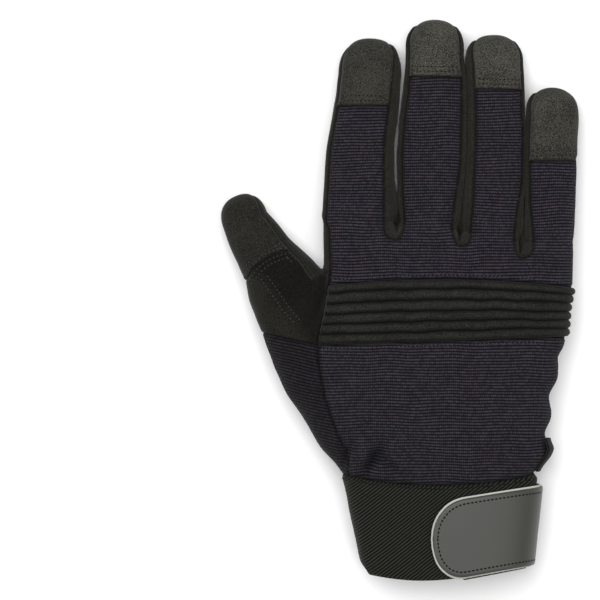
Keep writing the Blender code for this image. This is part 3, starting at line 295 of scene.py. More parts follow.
def body_rows():
    """All rows of the cuff and the palm in millimetres."""
    rows = []
    for row in CUFF_ROWS + PALM_ROWS:
        length = CUFF_LENGTH if row in CUFF_ROWS else PALM_LENGTH
        rows.append(
            BodyRow(
                WRIST_Y + row.along * length,
                KNUCKLE_CENTRE + row.seam * KNUCKLE_WIDTH,
                KNUCKLE_CENTRE + row.palm_seam * KNUCKLE_WIDTH,
                KNUCKLE_CENTRE + row.left * KNUCKLE_WIDTH,
                WRIST_Y + row.left_along * length,
                KNUCKLE_CENTRE + row.right * KNUCKLE_WIDTH,
                WRIST_Y + row.right_along * length,
                row.bow * KNUCKLE_WIDTH,
                row.thick * PALM_THICKNESS,
            )
        )
    return rows


BODY = body_rows()
LIFT = LAYER_GAP + PATCH_WALL


@lru_cache(maxsize=None)
def body_row(at):
    return BodyRow(*(spline([row[i] for row in BODY], at) for i in range(len(BODY[0]))))


def across(section, share):
    return mix(section.left, section.right, (share + 1) / 2)


def share_at(section, x):
    return 2 * (x - section.left) / (section.right - section.left) - 1


def depth_at(section, reach, upper):
    """Height over the section's middle at a share of its full arch."""
    return section.rise * reach if upper else -section.drop * min(1.0, reach * SOLE_FLAT)


def height(section, share, side):
    """Height of the section's upper (side 1) or lower (side -1) surface."""
    power = TOP_POWER if side > 0 else LOW_POWER
    arch = max(0.0, 1 - abs(share) ** power) ** (1 / power)
    return section.mid + depth_at(section, arch, side > 0)


def rim(section, end, angle):
    """Point (x, z) round the end of a section: angle 0 at its widest, positive upwards."""
    power = TOP_POWER if angle > 0 else LOW_POWER
    share = end * signed_power(math.cos(angle), 2 / power)
    reach = abs(math.sin(angle)) ** (2 / power)
    return Vector((across(section, share), section.mid + depth_at(section, reach, angle > 0)))


def rim_angle(share, side):
    power = TOP_POWER if side > 0 else LOW_POWER
    return side * math.acos(min(1.0, abs(share)) ** (power / 2))


def rim_point(section, end, top_x, low_x, q):
    """Point of the strip between a seam above and a seam below, q from 0 to 1."""
    top = rim_angle(share_at(section, top_x), 1)
    low = rim_angle(share_at(section, low_x), -1)
    return rim(section, end, mix(top, low, q))


def row_y(row, x, level=0.0):
    """Y of a row of the hand at x. level runs from 0 on the back to 1 on the palm."""
    if x <= row.seam:
        return mix(row.left_along, row.along, (x - row.left) / (row.seam - row.left))
    share = (x - row.seam) / (row.right - row.seam)
    bow = row.bow * mix(1.0, PALM_BOW, level)
    return mix(row.along, row.right_along, share) + 4 * bow * share * (1 - share)


def crotch_x(row):
    """X of the line that ends in the thumb's crotch."""
    return row.seam - CROTCH_INSET * (row.seam - row.left)


def wide_section(row):
    drop = HAND_DROP * row.thick
    return Section(row.left, row.right, LIFT + drop, row.thick - drop, drop)


def hand_section(row):
    return wide_section(row)._replace(left=crotch_x(row))


def thumb_section(row):
    drop = HAND_DROP * THUMB_THICKNESS
    rise = THUMB_THICKNESS - drop
    return Section(row.left, crotch_x(row), LIFT + drop, rise, drop)


def branch_share(at):
    """How far a row has parted into the thumb and the hand."""
    return ease((at - BAND_ROW) / (CROTCH_ROW - BAND_ROW))


def body_height(row, at, x, side, branch):
    whole = wide_section(row)
    wide = height(whole, share_at(whole, x), side)
    part = height(branch, share_at(branch, x), side)
    return mix(wide, part, branch_share(at))


def dip(left, right, middle_x, depth, u):
    """Point (x, z) across a web strip, which sinks in a curve towards its middle line."""
    middle = Vector((middle_x, (left.y + right.y) / 2 - depth))
    pull = 2 * middle - (left + right) / 2
    return left.lerp(pull, u).lerp(pull.lerp(right, u), u)


def valley(side):
    return WEB_VALLEY if side > 0 else -PALM_VALLEY


def place_x(row, place):
    return mix(row.seam, row.right, place)


def body_seams(row, finger, side):
    """X of the two seams of a finger's strip on the hand."""
    left = WEBS[finger - 1].right if finger else 0.0
    right = WEBS[finger].left if finger < LITTLE else LITTLE_EDGE_PLACE
    if side < 0 and not finger:
        return row.palm_seam, place_x(row, right)
    return place_x(row, left), place_x(row, right)


def body_point(at, x, side, branch):
    return Vector((x, body_height(body_row(at), at, x, side, branch)))


def level_of(side):
    """0 on the back (side 1) and 1 on the palm (side -1)."""
    return 0.0 if side > 0 else 1.0


def finish(point, row, level):
    return Vector((point.x, row_y(row, point.x, level), point.y))


def body_finger_strip(finger, side):
    def place(u, at):
        row = body_row(at)
        left, right = body_seams(row, finger, side)
        x = mix(left, right, u)
        point = body_point(at, x, side, hand_section(row))
        return finish(point, row, level_of(side))

    return place


def body_web_strip(web, side):
    def place(u, at):
        row = body_row(at)
        hand = hand_section(row)
        left = body_point(at, body_seams(row, web, side)[1], side, hand)
        right = body_point(at, body_seams(row, web + 1, side)[0], side, hand)
        depth = WEB_START * valley(side) * branch_share(at)
        middle = (left.x + right.x) / 2
        return finish(dip(left, right, middle, depth, u), row, level_of(side))

    return place


def thumb_seam(side, end):
    return THUMB_SEAMS[end if side > 0 else "palm_" + end]


def body_thumb_strip(side):
    def place(u, at):
        row = body_row(at)
        thumb = thumb_section(row)
        left = across(thumb, -thumb_seam(side, "left"))
        right = across(thumb, thumb_seam(side, "right"))
        point = body_point(at, mix(left, right, u), side, thumb)
        return finish(point, row, level_of(side))

    return place


def body_thumb_web(side):
    def place(u, at):
        row = body_row(at)
        thumb = thumb_section(row)
        left = body_point(at, across(thumb, thumb_seam(side, "right")), side, thumb)
        seam_x = body_seams(row, 0, side)[0]
        right = body_point(at, seam_x, side, hand_section(row))
        depth = valley(side) * branch_share(at)
        return finish(dip(left, right, crotch_x(row), depth, u), row, level_of(side))

    return place


def body_side(end):
    """The strip round the little finger's edge (end 1) or the thumb's edge (end -1)."""

    def place(q, at):
        row = body_row(at)
        if end > 0:
            part = hand_section(row)
            top_x = low_x = place_x(row, LITTLE_EDGE_PLACE)
        else:
            part = thumb_section(row)
            top_x = across(part, -THUMB_SEAMS["left"])
            low_x = across(part, -THUMB_SEAMS["palm_left"])
        wide = rim_point(wide_section(row), end, top_x, low_x, q)
        near = rim_point(part, end, top_x, low_x, q)
        return finish(wide.lerp(near, branch_share(at)), row, q)

    return place


def web_line(x, side, loops=False):
    """Y where the fingers start (or where the loops end) at x."""
    shift = 0.0 if side > 0 else PALM_WEB_SHIFT
    rows = []
    for web in WEBS:
        at_x = KNUCKLE_CENTRE + (web.loop_x if loops else web.x) * KNUCKLE_WIDTH
        along = web.loop_along if loops else web.along
        rows.append((at_x, WRIST_Y + along * PALM_LENGTH + shift))
    return between([(-math.inf, rows[0][1])] + rows, x) if x > rows[0][0] else rows[0][1]


def level_line(x, level, loops=False):
    return mix(web_line(x, 1, loops), web_line(x, -1, loops), level)


@lru_cache(maxsize=4096)
def finger_section(finger, along):
    """Section of a finger at a share of its length."""
    rows = FINGERS[finger].rows
    places = [row.along for row in rows]
    number = between(list(zip(places, range(len(rows)))), along)
    left = KNUCKLE_CENTRE + spline([row.left for row in rows], number) * KNUCKLE_WIDTH
    right = KNUCKLE_CENTRE + spline([row.right for row in rows], number) * KNUCKLE_WIDTH
    thick = FINGER_THICKNESS * between(FINGER_THICKNESS_ROWS, along)
    drop = FINGER_DROP * thick
    return Section(
        left, right, LIFT * between(FINGER_LIFT_ROWS, along) + drop, thick - drop, drop
    )


def finger_seams(finger, along, side):
    """X of the seams of a finger at a share of its length."""
    section = finger_section(finger, along)
    shape = FINGERS[finger]
    run = ease(along / SEAM_RUN)
    if side > 0:
        left = mix(shape.left, shape.left_tip, run)
        right = mix(shape.right, shape.right_tip, run)
    else:
        left, right = shape.palm_left, shape.palm_right
    return across(section, -left), across(section, right)


def finger_point(finger, along, u, side):
    section = finger_section(finger, along)
    left, right = finger_seams(finger, along, side)
    x = mix(left, right, u)
    return Vector((x, height(section, share_at(section, x), side)))


def finger_rim(finger, along, end, q):
    section = finger_section(finger, along)
    number = 1 if end > 0 else 0
    top_x = finger_seams(finger, along, 1)[number]
    low_x = finger_seams(finger, along, -1)[number]
    return rim_point(section, end, top_x, low_x, q)


def hand_y(x, at, level):
    """Y between the thumb's crotch row (at 0) and the finger crotches (at HAND_ROWS)."""
    start = row_y(BODY[CROTCH_ROW], x, level)
    loops = level_line(x, level, loops=True)
    webs = level_line(x, level)
    if at < 1:
        return mix(start, loops, at)
    return mix(loops, webs, (at - 1) / (HAND_ROWS - 1))


# Against the rows between the thumb's crotch and the finger crotches: how far the hand has
# turned into separate fingers, and how far the seams beside a web have moved apart
PARTING_ROWS = ((0, 0.0), (1, 0.15), (2, 0.55), (HAND_ROWS, 1.0))
SPREAD_ROWS = ((0, 0.0), (1, 0.85), (HAND_ROWS, 1.0))


def parting(at):
    return between(PARTING_ROWS, at)


def spread(at):
    """Like parting, but ahead of it."""
    return between(SPREAD_ROWS, at)


def strip_spread(finger, at, u):
    """How far a point of a finger's strip has moved: ahead of the fingers next to a web."""
    outer = {INDEX: 1 - u, LITTLE: u}.get(finger, 0.0)
    return mix(spread(at), parting(at), outer)


def hand_seam_point(finger, at, u, side):
    row = BODY[CROTCH_ROW]
    left, right = body_seams(row, finger, side)
    start = body_point(CROTCH_ROW, mix(left, right, u), side, hand_section(row))
    end = finger_point(finger, 0.0, u, side)
    x = mix(start.x, end.x, strip_spread(finger, at, u))
    return Vector((x, mix(start.y, end.y, parting(at))))


def hand_finger_strip(finger, side):
    def place(u, at):
        point = hand_seam_point(finger, at, u, side)
        return Vector((point.x, hand_y(point.x, at, level_of(side)), point.y))

    return place


def hand_web_point(web, at, u, side):
    left = hand_seam_point(web, at, 1.0, side)
    right = hand_seam_point(web + 1, at, 0.0, side)
    end_x = KNUCKLE_CENTRE + WEBS[web].x * KNUCKLE_WIDTH
    middle_x = mix((left.x + right.x) / 2, end_x, parting(at))
    depth = valley(side) * mix(WEB_START, 1.0, parting(at))
    return dip(left, right, middle_x, depth, u)


def loop_sag(u, at):
    """How far the round end of a loop on the back hangs towards the wrist."""
    share = between(((0, 0.0), (1, 1.0), (HAND_ROWS, 0.0)), at)
    return LOOP_ROUND * share * math.sqrt(max(0.0, 1 - (2 * u - 1) ** 2))


def hand_web_strip(web, side):
    def place(u, at):
        point = hand_web_point(web, at, u, side)
        sag = loop_sag(u, at) if side > 0 else 0.0
        return Vector((point.x, hand_y(point.x, at, level_of(side)) - sag, point.y))

    return place


def crotch_curve(top, low, q):
    """Wall of a crotch from its top to its bottom, bulging towards the fingertips."""
    edge = 1 / SIDE_FACES
    share = (q - edge) / (1 - 2 * edge)
    wave = math.sin(math.pi * share)
    point = top.lerp(low, (1 - math.cos(math.pi * share)) / 2)
    point.y += CROTCH_BULGE * wave
    return point


def crotch_base(top_line, low_line, q):
    """First row of a side strip: from the seam to the crotch, down it, and back out.
    top_line and low_line give the web's edge, from its seam at 0 to its middle at 1."""
    edge = 1 / SIDE_FACES
    if q < edge:
        return top_line(q / edge)
    if q > 1 - edge:
        return low_line((1 - q) / edge)
    return crotch_curve(top_line(1.0), low_line(1.0), q)


# Distance over which a side strip leaves its crotch, and how far one row takes it
OPENING_REACH = 7.0
OPENING_ROW = 8.0


def opening(distance, q):
    """How far a side strip has left its crotch. Its seams, at q 0 and 1, leave at once."""
    hold = min(1.0, min(q, 1 - q) * SIDE_FACES)
    way = math.sqrt(max(0.0, 1 - (1 - min(1.0, distance / OPENING_REACH)) ** 2))
    return 1 - (1 - way) * hold


def thumb_crotch_lines(seam_u):
    """The web's last row above and below, from the seam at seam_u to the thumb's crotch."""
    return [
        lambda share, side=side: body_thumb_web(side)(mix(seam_u, 0.5, share), CROTCH_ROW)
        for side in (1, -1)
    ]


def hand_side(end):
    """Edge of the hand above the thumb's crotch row: index (end -1) or little finger (end 1)."""
    finger = INDEX if end < 0 else LITTLE

    def place(q, at):
        row = BODY[CROTCH_ROW]
        number = 1 if end > 0 else 0
        top_x = body_seams(row, finger, 1)[number]
        low_x = body_seams(row, finger, -1)[number]
        start = rim_point(hand_section(row), end, top_x, low_x, q)
        point = start.lerp(finger_rim(finger, 0.0, end, q), parting(at))
        free = Vector((point.x, hand_y(point.x, at, q), point.y))
        if end > 0:
            return free
        base = crotch_base(*thumb_crotch_lines(1.0), q)
        return base.lerp(free, opening(OPENING_ROW * at, q))

    return place


def finger_y(finger, base_y, at):
    """Y of a row of a finger: LOWER_ROWS rows up to its cap, CAP_ROWS rows under the cap."""
    share = finger_rows(finger, at)
    return mix(base_y, dome_y(finger), share)


def finger_rows(finger, at):
    return between(
        ((0, 0.0), (LOWER_ROWS, FINGERS[finger].cap), (LOWER_ROWS + CAP_ROWS, 1.0)), at
    )


def finger_root(finger):
    """Y from which a finger's length is measured: the mean of its crotches."""
    ends = [web for web in (finger - 1, finger) if 0 <= web < len(WEBS)]
    lines = [WRIST_Y + WEBS[web].along * PALM_LENGTH for web in ends]
    return sum(lines) / len(lines)


def dome_y(finger):
    shape = FINGERS[finger]
    return finger_root(finger) + shape.rows[-1].along * shape.length


def along_at(finger, y):
    shape = FINGERS[finger]
    return min(shape.rows[-1].along, max(0.0, (y - finger_root(finger)) / shape.length))


def finger_strip(finger, side):
    level = level_of(side)

    def place(u, at):
        base = hand_finger_strip(finger, side)(u, HAND_ROWS)
        y = finger_y(finger, base.y, at)
        start = finger_point(finger, 0.0, u, side)
        point = finger_point(finger, along_at(finger, y), u, side)
        point = start if at == 0 else point
        return Vector((point.x, y, point.y)) if level + at else base

    return place


def finger_base(finger, end, q):
    """First row of a finger's side strip."""
    seam_u = 1.0 if end > 0 else 0.0
    web = finger if end > 0 else finger - 1
    if not 0 <= web < len(WEBS):
        return hand_side(end)(q, HAND_ROWS)
    lines = [
        lambda share, side=side: hand_web_strip(web, side)(
            mix(1 - seam_u, 0.5, share), HAND_ROWS
        )
        for side in (1, -1)
    ]
    return crotch_base(*lines, q)


def finger_side(finger, end):
    def place(q, at):
        base = finger_base(finger, end, q)
        if at == 0:
            return base
        y = finger_y(finger, base.y, at)
        point = finger_rim(finger, along_at(finger, y), end, q)
        return base.lerp(Vector((point.x, y, point.y)), opening(y - base.y, q))

    return place


# The thumb's underside comes down towards its tip: the share of its length where it would
# reach the ground, and the least share of LIFT that it keeps
THUMB_LIFT_REACH = 0.9
THUMB_LIFT_LEAST = 0.4


@lru_cache(maxsize=None)
def thumb_frame(at):
    """Left and right ends of a thumb row in plan, and its section."""
    row = BODY[CROTCH_ROW]
    left = Vector((row.left, row.left_along))
    right = Vector((crotch_x(row), row_y(row, crotch_x(row))))
    root = right - left
    side = root.normalized()
    forward = Vector((-side.y, side.x))
    along, aside, width, turn, thick = (spline(values, at) for values in zip(*THUMB_ROWS))
    centre = (left + right) / 2 + THUMB_LENGTH * (along * forward + aside * side)
    angle = math.radians(turn)
    arm = side * math.cos(angle) + forward * math.sin(angle)
    half = arm * root.length * width / 2
    depth = THUMB_THICKNESS * thick
    drop = HAND_DROP * depth
    lift = LIFT * max(THUMB_LIFT_LEAST, 1 - along / THUMB_LIFT_REACH)
    section = Section(-1.0, 1.0, lift + drop, depth - drop, drop)
    return centre, half, section


def thumb_place(at, point):
    centre, half, _ = thumb_frame(at)
    plan = centre + half * point.x
    return Vector((plan.x, plan.y, point.y))


def thumb_bow(u, at):
    """How far the cross seam of the thumb's back bows towards the tip between its ends."""
    share = between(((0, 0.0), (THUMB_CAP_ROW, 1.0), (len(THUMB_ROWS) - 1, 0.0)), at)
    return THUMB_BOW * share * 4 * u * (1 - u)


def thumb_strip(side):
    def place(u, at):
        half, section = thumb_frame(at)[1:]
        share = mix(-thumb_seam(side, "left"), thumb_seam(side, "right"), u)
        point = thumb_place(at, Vector((share, height(section, share, side))))
        if side > 0:
            point += Vector((-half.y, half.x, 0.0)).normalized() * thumb_bow(u, at)
        return point

    return place


def thumb_side(end):
    name = "right" if end > 0 else "left"

    def place(q, at):
        section = thumb_frame(at)[2]
        top_x = end * thumb_seam(1, name)
        low_x = end * thumb_seam(-1, name)
        free = thumb_place(at, rim_point(section, end, top_x, low_x, q))
        if end < 0:
            return free
        base = crotch_base(*thumb_crotch_lines(0.0), q)
        return base.lerp(free, opening(OPENING_ROW * at, q))

    return place


def dome_point(half_width, section, length, start, end_angle, share):
    """Point of a fingertip, between the last row (share 0) and the seam round the tip."""
    target = Vector((math.cos(end_angle), math.sin(end_angle), 0.0))
    angle = start.angle(target, 0.0)
    if angle > TINY_ANGLE:
        weight = math.sin(angle)
        way = start * (math.sin((1 - share) * angle) / weight)
        way += target * (math.sin(share * angle) / weight)
    else:
        way = target
    power = mix(TOP_POWER if start.z > 0 else LOW_POWER, TIP_POWER, share)
    return Vector(
        (
            half_width * signed_power(way.x, 2 / power),
            length * signed_power(max(way.y, 0.0), 2 / TIP_POWER),
            depth_at(section, abs(way.z) ** (2 / power), way.z > 0),
        )
    )


def unit_at(share, side):
    """Direction of a place on the section's upper or lower half."""
    power = TOP_POWER if side > 0 else LOW_POWER
    x = signed_power(min(1.0, max(-1.0, share)), power / 2)
    return Vector((x, 0.0, side * math.sqrt(max(0.0, 1 - x * x))))


def tip_frame(finger):
    """Section, place and length of a fingertip's dome, of the thumb too."""
    if finger < THUMB:
        shape = FINGERS[finger]
        section = finger_section(finger, shape.rows[-1].along)
        centre = Vector(((section.left + section.right) / 2, dome_y(finger)))
        half = Vector(((section.right - section.left) / 2, 0.0))
        return section, centre, half, (1 - shape.rows[-1].along) * shape.length
    centre, half, section = thumb_frame(len(THUMB_ROWS) - 1)
    return section, centre, half, (1 - THUMB_ROWS[-1].along) * THUMB_LENGTH


def tip_place(finger, start, end_angle, share):
    section, centre, half, length = tip_frame(finger)
    point = dome_point(half.length, section, length, start, end_angle, share)
    side = half.normalized()
    forward = Vector((-side.y, side.x))
    plan = centre + side * point.x + forward * point.y
    return Vector((plan.x, plan.y, section.mid + point.z))


def tip_seam_shares(finger, side):
    if finger == THUMB:
        return -thumb_seam(side, "left"), thumb_seam(side, "right")
    along = FINGERS[finger].rows[-1].along
    section = finger_section(finger, along)
    left, right = finger_seams(finger, along, side)
    return share_at(section, left), share_at(section, right)


def tip_strip(finger, side):
    def place(u, share):
        left, right = tip_seam_shares(finger, side)
        start = unit_at(mix(left, right, u), side)
        corner = mix(math.pi - TIP_CORNER, TIP_CORNER, u)
        return tip_place(finger, start, corner, share)

    return place


def tip_side(finger, end):
    number = 1 if end > 0 else 0

    def place(q, share):
        top = rim_angle(tip_seam_shares(finger, 1)[number], 1)
        low = rim_angle(tip_seam_shares(finger, -1)[number], -1)
        angle = mix(top, low, q)
        start = Vector((end * math.cos(angle), 0.0, math.sin(angle)))
        corner = TIP_CORNER if end > 0 else math.pi - TIP_CORNER
        return tip_place(finger, start, corner, share)

    return place


# How finely each face of a strip is cut: across, and along for each row of the glove
FINE = 4
BODY_CUTS = (14, 14, 8, 8, 8, 8, 8, 36, 36, 6)
HAND_CUTS = (10, 4, 4)
FINGER_CUTS = (9, 9, 9, 9, 5, 5)
THUMB_CUTS = (8, 8, 8, 8, 8)
TIP_CUTS = (10,)

# Slack and folds of the cloth
SLACK_DEPTH = 0.45
SLACK_SIZE = 16.0
FINE_SLACK_DEPTH = 0.5 * SLACK_DEPTH
FINE_SLACK_SIZE = 0.45 * SLACK_SIZE
FINE_SLACK_START = Vector((3.0, 7.0, 1.0))
PRESSED_LEVEL = -0.8  # the cloth is pressed flat where its normal's z lies below this
PRESSED_FADE = 0.5  # and hangs free this much above it
EDGE_FOLD_DEPTH = 1.0
EDGE_FOLD_PITCH = 17.0
EDGE_FOLD_START = -0.28
EDGE_FOLD_REACH = 9.0
EDGE_FOLD_LEAN = 0.12
EDGE_FOLD_MARGIN = 2.0

# A dent or crease: middle x and y, half length and half width, turn in degrees, depth
Dent = namedtuple("Dent", "x y length width turn depth")
DENTS = (
    Dent(-12.6, -68.5, 8.0, 2.6, 58.0, 4.6),
    Dent(-5.0, -71.0, 6.5, 2.4, -50.0, 2.4),
    Dent(-24.0, -66.0, 8.0, 2.2, 70.0, 3.0),
    Dent(-37.3, -5.5, 10.0, 1.5, 63.0, 1.3),
    Dent(-41.5, 9.0, 7.0, 4.5, 35.0, 1.2),
    Dent(-38.0, 14.5, 7.0, 3.0, -53.0, 2.6),
    Dent(-1.5, 33.5, 5.0, 1.5, 80.0, 4.0),
    Dent(25.3, 28.5, 4.5, 1.4, 85.0, 4.0),
    Dent(51.5, 23.0, 4.5, 1.4, 85.0, 3.5),
)

# A crease this deep takes painted shade as dark as a seam's; beside it, the distance that counts as
# open cloth
CREASE_SHADE_DEPTH = 4.4
CREASE_SHADE_OPEN = 1.6


def fine_rows(cuts):
    """Row places from 0, with each whole row cut into the given number of fine ones."""
    rows = [0.0]
    for number, count in enumerate(cuts):
        rows += [number + (step + 1) / count for step in range(count)]
    return rows


def add_strip(skin, faces, cuts, place, panel_of, cloth):
    """Adds one strip to the skin: a grid bent by place(u, at), its faces marked by panel.
    cloth gives each point's place on the weave."""
    panels = skin.faces.layers.int["panel"]
    lines = skin.verts.layers.float["row"]
    weave = skin.loops.layers.uv["cloth"]
    rows = fine_rows(cuts)
    columns, last = faces * FINE, len(rows) - 1
    grid = bmesh.ops.create_grid(skin, x_segments=columns, y_segments=last, size=0.5)
    verts = grid["verts"]
    laid = {}
    for face in {face for vert in verts for face in vert.link_faces}:
        centre = face.calc_center_median()
        row = int((centre.y + 0.5) * last)
        at = (rows[row] + rows[row + 1]) / 2
        face[panels] = PANEL_NUMBER[panel_of(int((centre.x + 0.5) * faces), int(at))]
    for vert in verts:
        u = round((vert.co.x + 0.5) * columns) / columns
        at = rows[round((vert.co.y + 0.5) * last)]
        vert[lines] = at
        vert.co = place(u, at)
        laid[vert] = cloth(place, u, at, vert.co)
    for face in {face for vert in verts for face in vert.link_faces}:
        for loop in face.loops:
            loop[weave].uv = laid[loop.vert]


def cloth_top(place, u, at, point):
    """Place on the cloth, in metres: across the back, and along it."""
    return Vector((point.x, point.y)) * MM


def cloth_low(place, u, at, point):
    return Vector((PALM_CLOTH - point.x, point.y)) * MM


def cloth_right(place, u, at, point):
    return Vector((place(0.0, at).x + u * SIDE_CLOTH, point.y)) * MM


def cloth_left(place, u, at, point):
    return Vector((place(0.0, at).x - u * SIDE_CLOTH, point.y)) * MM


# Cloth round the hand's edge, and where the palm's cloth starts, in millimetres
SIDE_CLOTH = 26.0
PALM_CLOTH = 150.0


def cloth_side(end):
    return cloth_right if end > 0 else cloth_left


def back_panel(row):
    """Panel of a row of the hand's back: cuff, lower knit, pleated band, upper knit."""
    if row < WRIST_ROW:
        return "cuff_band"
    if row < BAND_ROW:
        return "back_panel_lower"
    return "knuckle_band" if row < BAND_END_ROW else "back_panel_upper"


def palm_side(row):
    return "cuff_band" if row < WRIST_ROW else "palm_panel"


def thumb_part(row, suede):
    if row < WRIST_ROW:
        return "cuff_band"
    return "thumb_gusset" if row < BAND_ROW else suede


SIDES = ((1, cloth_top), (-1, cloth_low))

# Share of the crease between two knuckles that is left on the back before the crotch
CREASE_KEPT = 0.2


def soft_web(strip, side, parted):
    """A web's strip; on the back its crease opens only where the fingers part."""

    def place(u, at):
        point = strip(u, at)
        if side > 0:
            level = mix(strip(0.0, at).z, strip(1.0, at).z, u)
            point.z = mix(level, point.z, mix(CREASE_KEPT, 1.0, parted(at)))
        return point

    return place


def add_body(skin):
    for side, cloth in SIDES:
        panel = back_panel if side > 0 else palm_side
        suede = "thumb_back" if side > 0 else "thumb_palm"
        parts = lambda c, r, panel=panel: panel(r)
        thumb = lambda c, r, suede=suede: thumb_part(r, suede)
        for finger in range(len(FINGERS)):
            add_strip(skin, TOP_FACES, BODY_CUTS, body_finger_strip(finger, side), parts, cloth)
        for web in range(len(WEBS)):
            strip = soft_web(body_web_strip(web, side), side, lambda at: 0.0)
            add_strip(skin, WEB_FACES, BODY_CUTS, strip, parts, cloth)
        add_strip(skin, TOP_FACES, BODY_CUTS, body_thumb_strip(side), thumb, cloth)
        add_strip(skin, WEB_FACES, BODY_CUTS, body_thumb_web(side), thumb, cloth)
    half = SIDE_FACES / 2
    edge = lambda c, r: back_panel(r) if c < half else palm_side(r)
    add_strip(skin, SIDE_FACES, BODY_CUTS, body_side(1), edge, cloth_right)
    thumb = lambda c, r: thumb_part(r, "thumb_back")
    add_strip(skin, SIDE_FACES, BODY_CUTS, body_side(-1), thumb, cloth_left)


# The cloth falls from the knuckles to a finger over this length, and follows the seams beside
# it over this share of its width
FALL_LENGTH = 15.0
FALL_EDGE = 0.34


def spread_fall(finger, strip, first):
    """A finger's strip of the back, its fall past the knuckles spread out along the finger."""
    knuckle = hand_finger_strip(finger, 1)

    def place(u, at):
        point = strip(u, at)
        top, low = knuckle(u, 1.0), knuckle(u, HAND_ROWS)
        done = min(max((first + at - 1) / (HAND_ROWS - 1), 0.0), 1.0)
        later = done - ease((point.y - top.y) / FALL_LENGTH)
        lift = (top.z - low.z) * later * ease(min(u, 1 - u) / FALL_EDGE)
        return point + Vector((0.0, 0.0, max(lift, 0.0)))

    return place


def add_hand(skin):
    for side, cloth in SIDES:
        name = "back_panel_upper" if side > 0 else "palm_panel"
        last = 1 if side > 0 else HAND_ROWS - 1
        panel = lambda c, r, name=name: name
        for finger in range(len(FINGERS)):
            strip = hand_finger_strip(finger, side)
            if side > 0:
                strip = spread_fall(finger, strip, 0)
            add_strip(skin, TOP_FACES, HAND_CUTS, strip, panel, cloth)
        for web in range(len(WEBS)):
            loop = lambda c, r, low=name, top=FOURCHETTES[web], n=last: low if r < n else top
            strip = soft_web(hand_web_strip(web, side), side, parting)
            add_strip(skin, WEB_FACES, HAND_CUTS, strip, loop, cloth)
    strip = lambda c, r: "thumb_index_side_strip"
    edge = lambda c, r: "back_panel_upper" if c < SIDE_FACES / 2 else "palm_panel"
    add_strip(skin, SIDE_FACES, HAND_CUTS, hand_side(-1), strip, cloth_left)
    add_strip(skin, SIDE_FACES, HAND_CUTS, hand_side(1), edge, cloth_right)


def side_panel(finger, end):
    """Panel of the strip at the left (end -1) or right (end 1) of a finger."""
    if finger == INDEX and end < 0:
        return "thumb_index_side_strip"
    return FOURCHETTES[finger if end > 0 else finger - 1]


def add_finger(skin, finger):
    cap = FINGERS[finger].name + "_tip_cap"
    top = lambda c, r: "back_panel_upper" if r < LOWER_ROWS else cap
    palm = lambda c, r: "palm_panel"
    back = spread_fall(finger, finger_strip(finger, 1), HAND_ROWS)
    add_strip(skin, TOP_FACES, FINGER_CUTS, back, top, cloth_top)
    add_strip(skin, TOP_FACES, FINGER_CUTS, finger_strip(finger, -1), palm, cloth_low)
    for end in (-1, 1):
        if finger == LITTLE and end > 0:
            half = SIDE_FACES / 2
            side = lambda c, r: top(c, r) if c < half else "palm_panel"
            tip = lambda c, r: cap if c < half else "palm_panel"
        else:
            side = tip = lambda c, r, end=end: side_panel(finger, end)
        cloth = cloth_side(end)
        add_strip(skin, SIDE_FACES, FINGER_CUTS, finger_side(finger, end), side, cloth)
        add_strip(skin, SIDE_FACES, TIP_CUTS, tip_side(finger, end), tip, cloth)
    add_strip(skin, TOP_FACES, TIP_CUTS, tip_strip(finger, 1), lambda c, r: cap, cloth_top)
    add_strip(skin, TOP_FACES, TIP_CUTS, tip_strip(finger, -1), palm, cloth_low)


def add_thumb(skin):
    cap = "thumb_tip_cap"
    back = lambda c, r: "thumb_back" if r < THUMB_CAP_ROW else cap
    palm = lambda c, r: "thumb_palm"
    strip = lambda c, r: "thumb_index_side_strip"
    whole = lambda c, r: cap
    add_strip(skin, TOP_FACES, THUMB_CUTS, thumb_strip(1), back, cloth_top)
    add_strip(skin, TOP_FACES, THUMB_CUTS, thumb_strip(-1), palm, cloth_low)
    add_strip(skin, SIDE_FACES, THUMB_CUTS, thumb_side(-1), back, cloth_left)
    add_strip(skin, SIDE_FACES, THUMB_CUTS, thumb_side(1), strip, cloth_right)
    add_strip(skin, TOP_FACES, TIP_CUTS, tip_strip(THUMB, 1), whole, cloth_top)
    add_strip(skin, TOP_FACES, TIP_CUTS, tip_strip(THUMB, -1), palm, cloth_low)
    add_strip(skin, SIDE_FACES, TIP_CUTS, tip_side(THUMB, -1), whole, cloth_left)
    add_strip(skin, SIDE_FACES, TIP_CUTS, tip_side(THUMB, 1), strip, cloth_right)


def dent_depth(dent, point):
    angle = math.radians(dent.turn)
    run, rise = point.x - dent.x, point.y - dent.y
    along = (run * math.cos(angle) + rise * math.sin(angle)) / dent.length
    aside = (rise * math.cos(angle) - run * math.sin(angle)) / dent.width
    return dent.depth * math.exp(-along * along - aside * aside)


def edge_folds(point):
    """The folds of the lower knit beside the hand's edge."""
    low, high = BODY[WRIST_ROW].right_along, BODY[BAND_ROW].right_along
    if not low - EDGE_FOLD_MARGIN < point.y < high:
        return 0.0
    right = between([(row.right_along, row.right) for row in BODY], point.y)
    near = ease(1 + (point.x - right) / EDGE_FOLD_REACH)
    turn = 2 * math.pi * (point.y - high) / EDGE_FOLD_PITCH + EDGE_FOLD_START
    wave = math.sin(turn + EDGE_FOLD_LEAN * point.z)
    return EDGE_FOLD_DEPTH * near * wave * ease((high - point.y) / EDGE_FOLD_REACH)


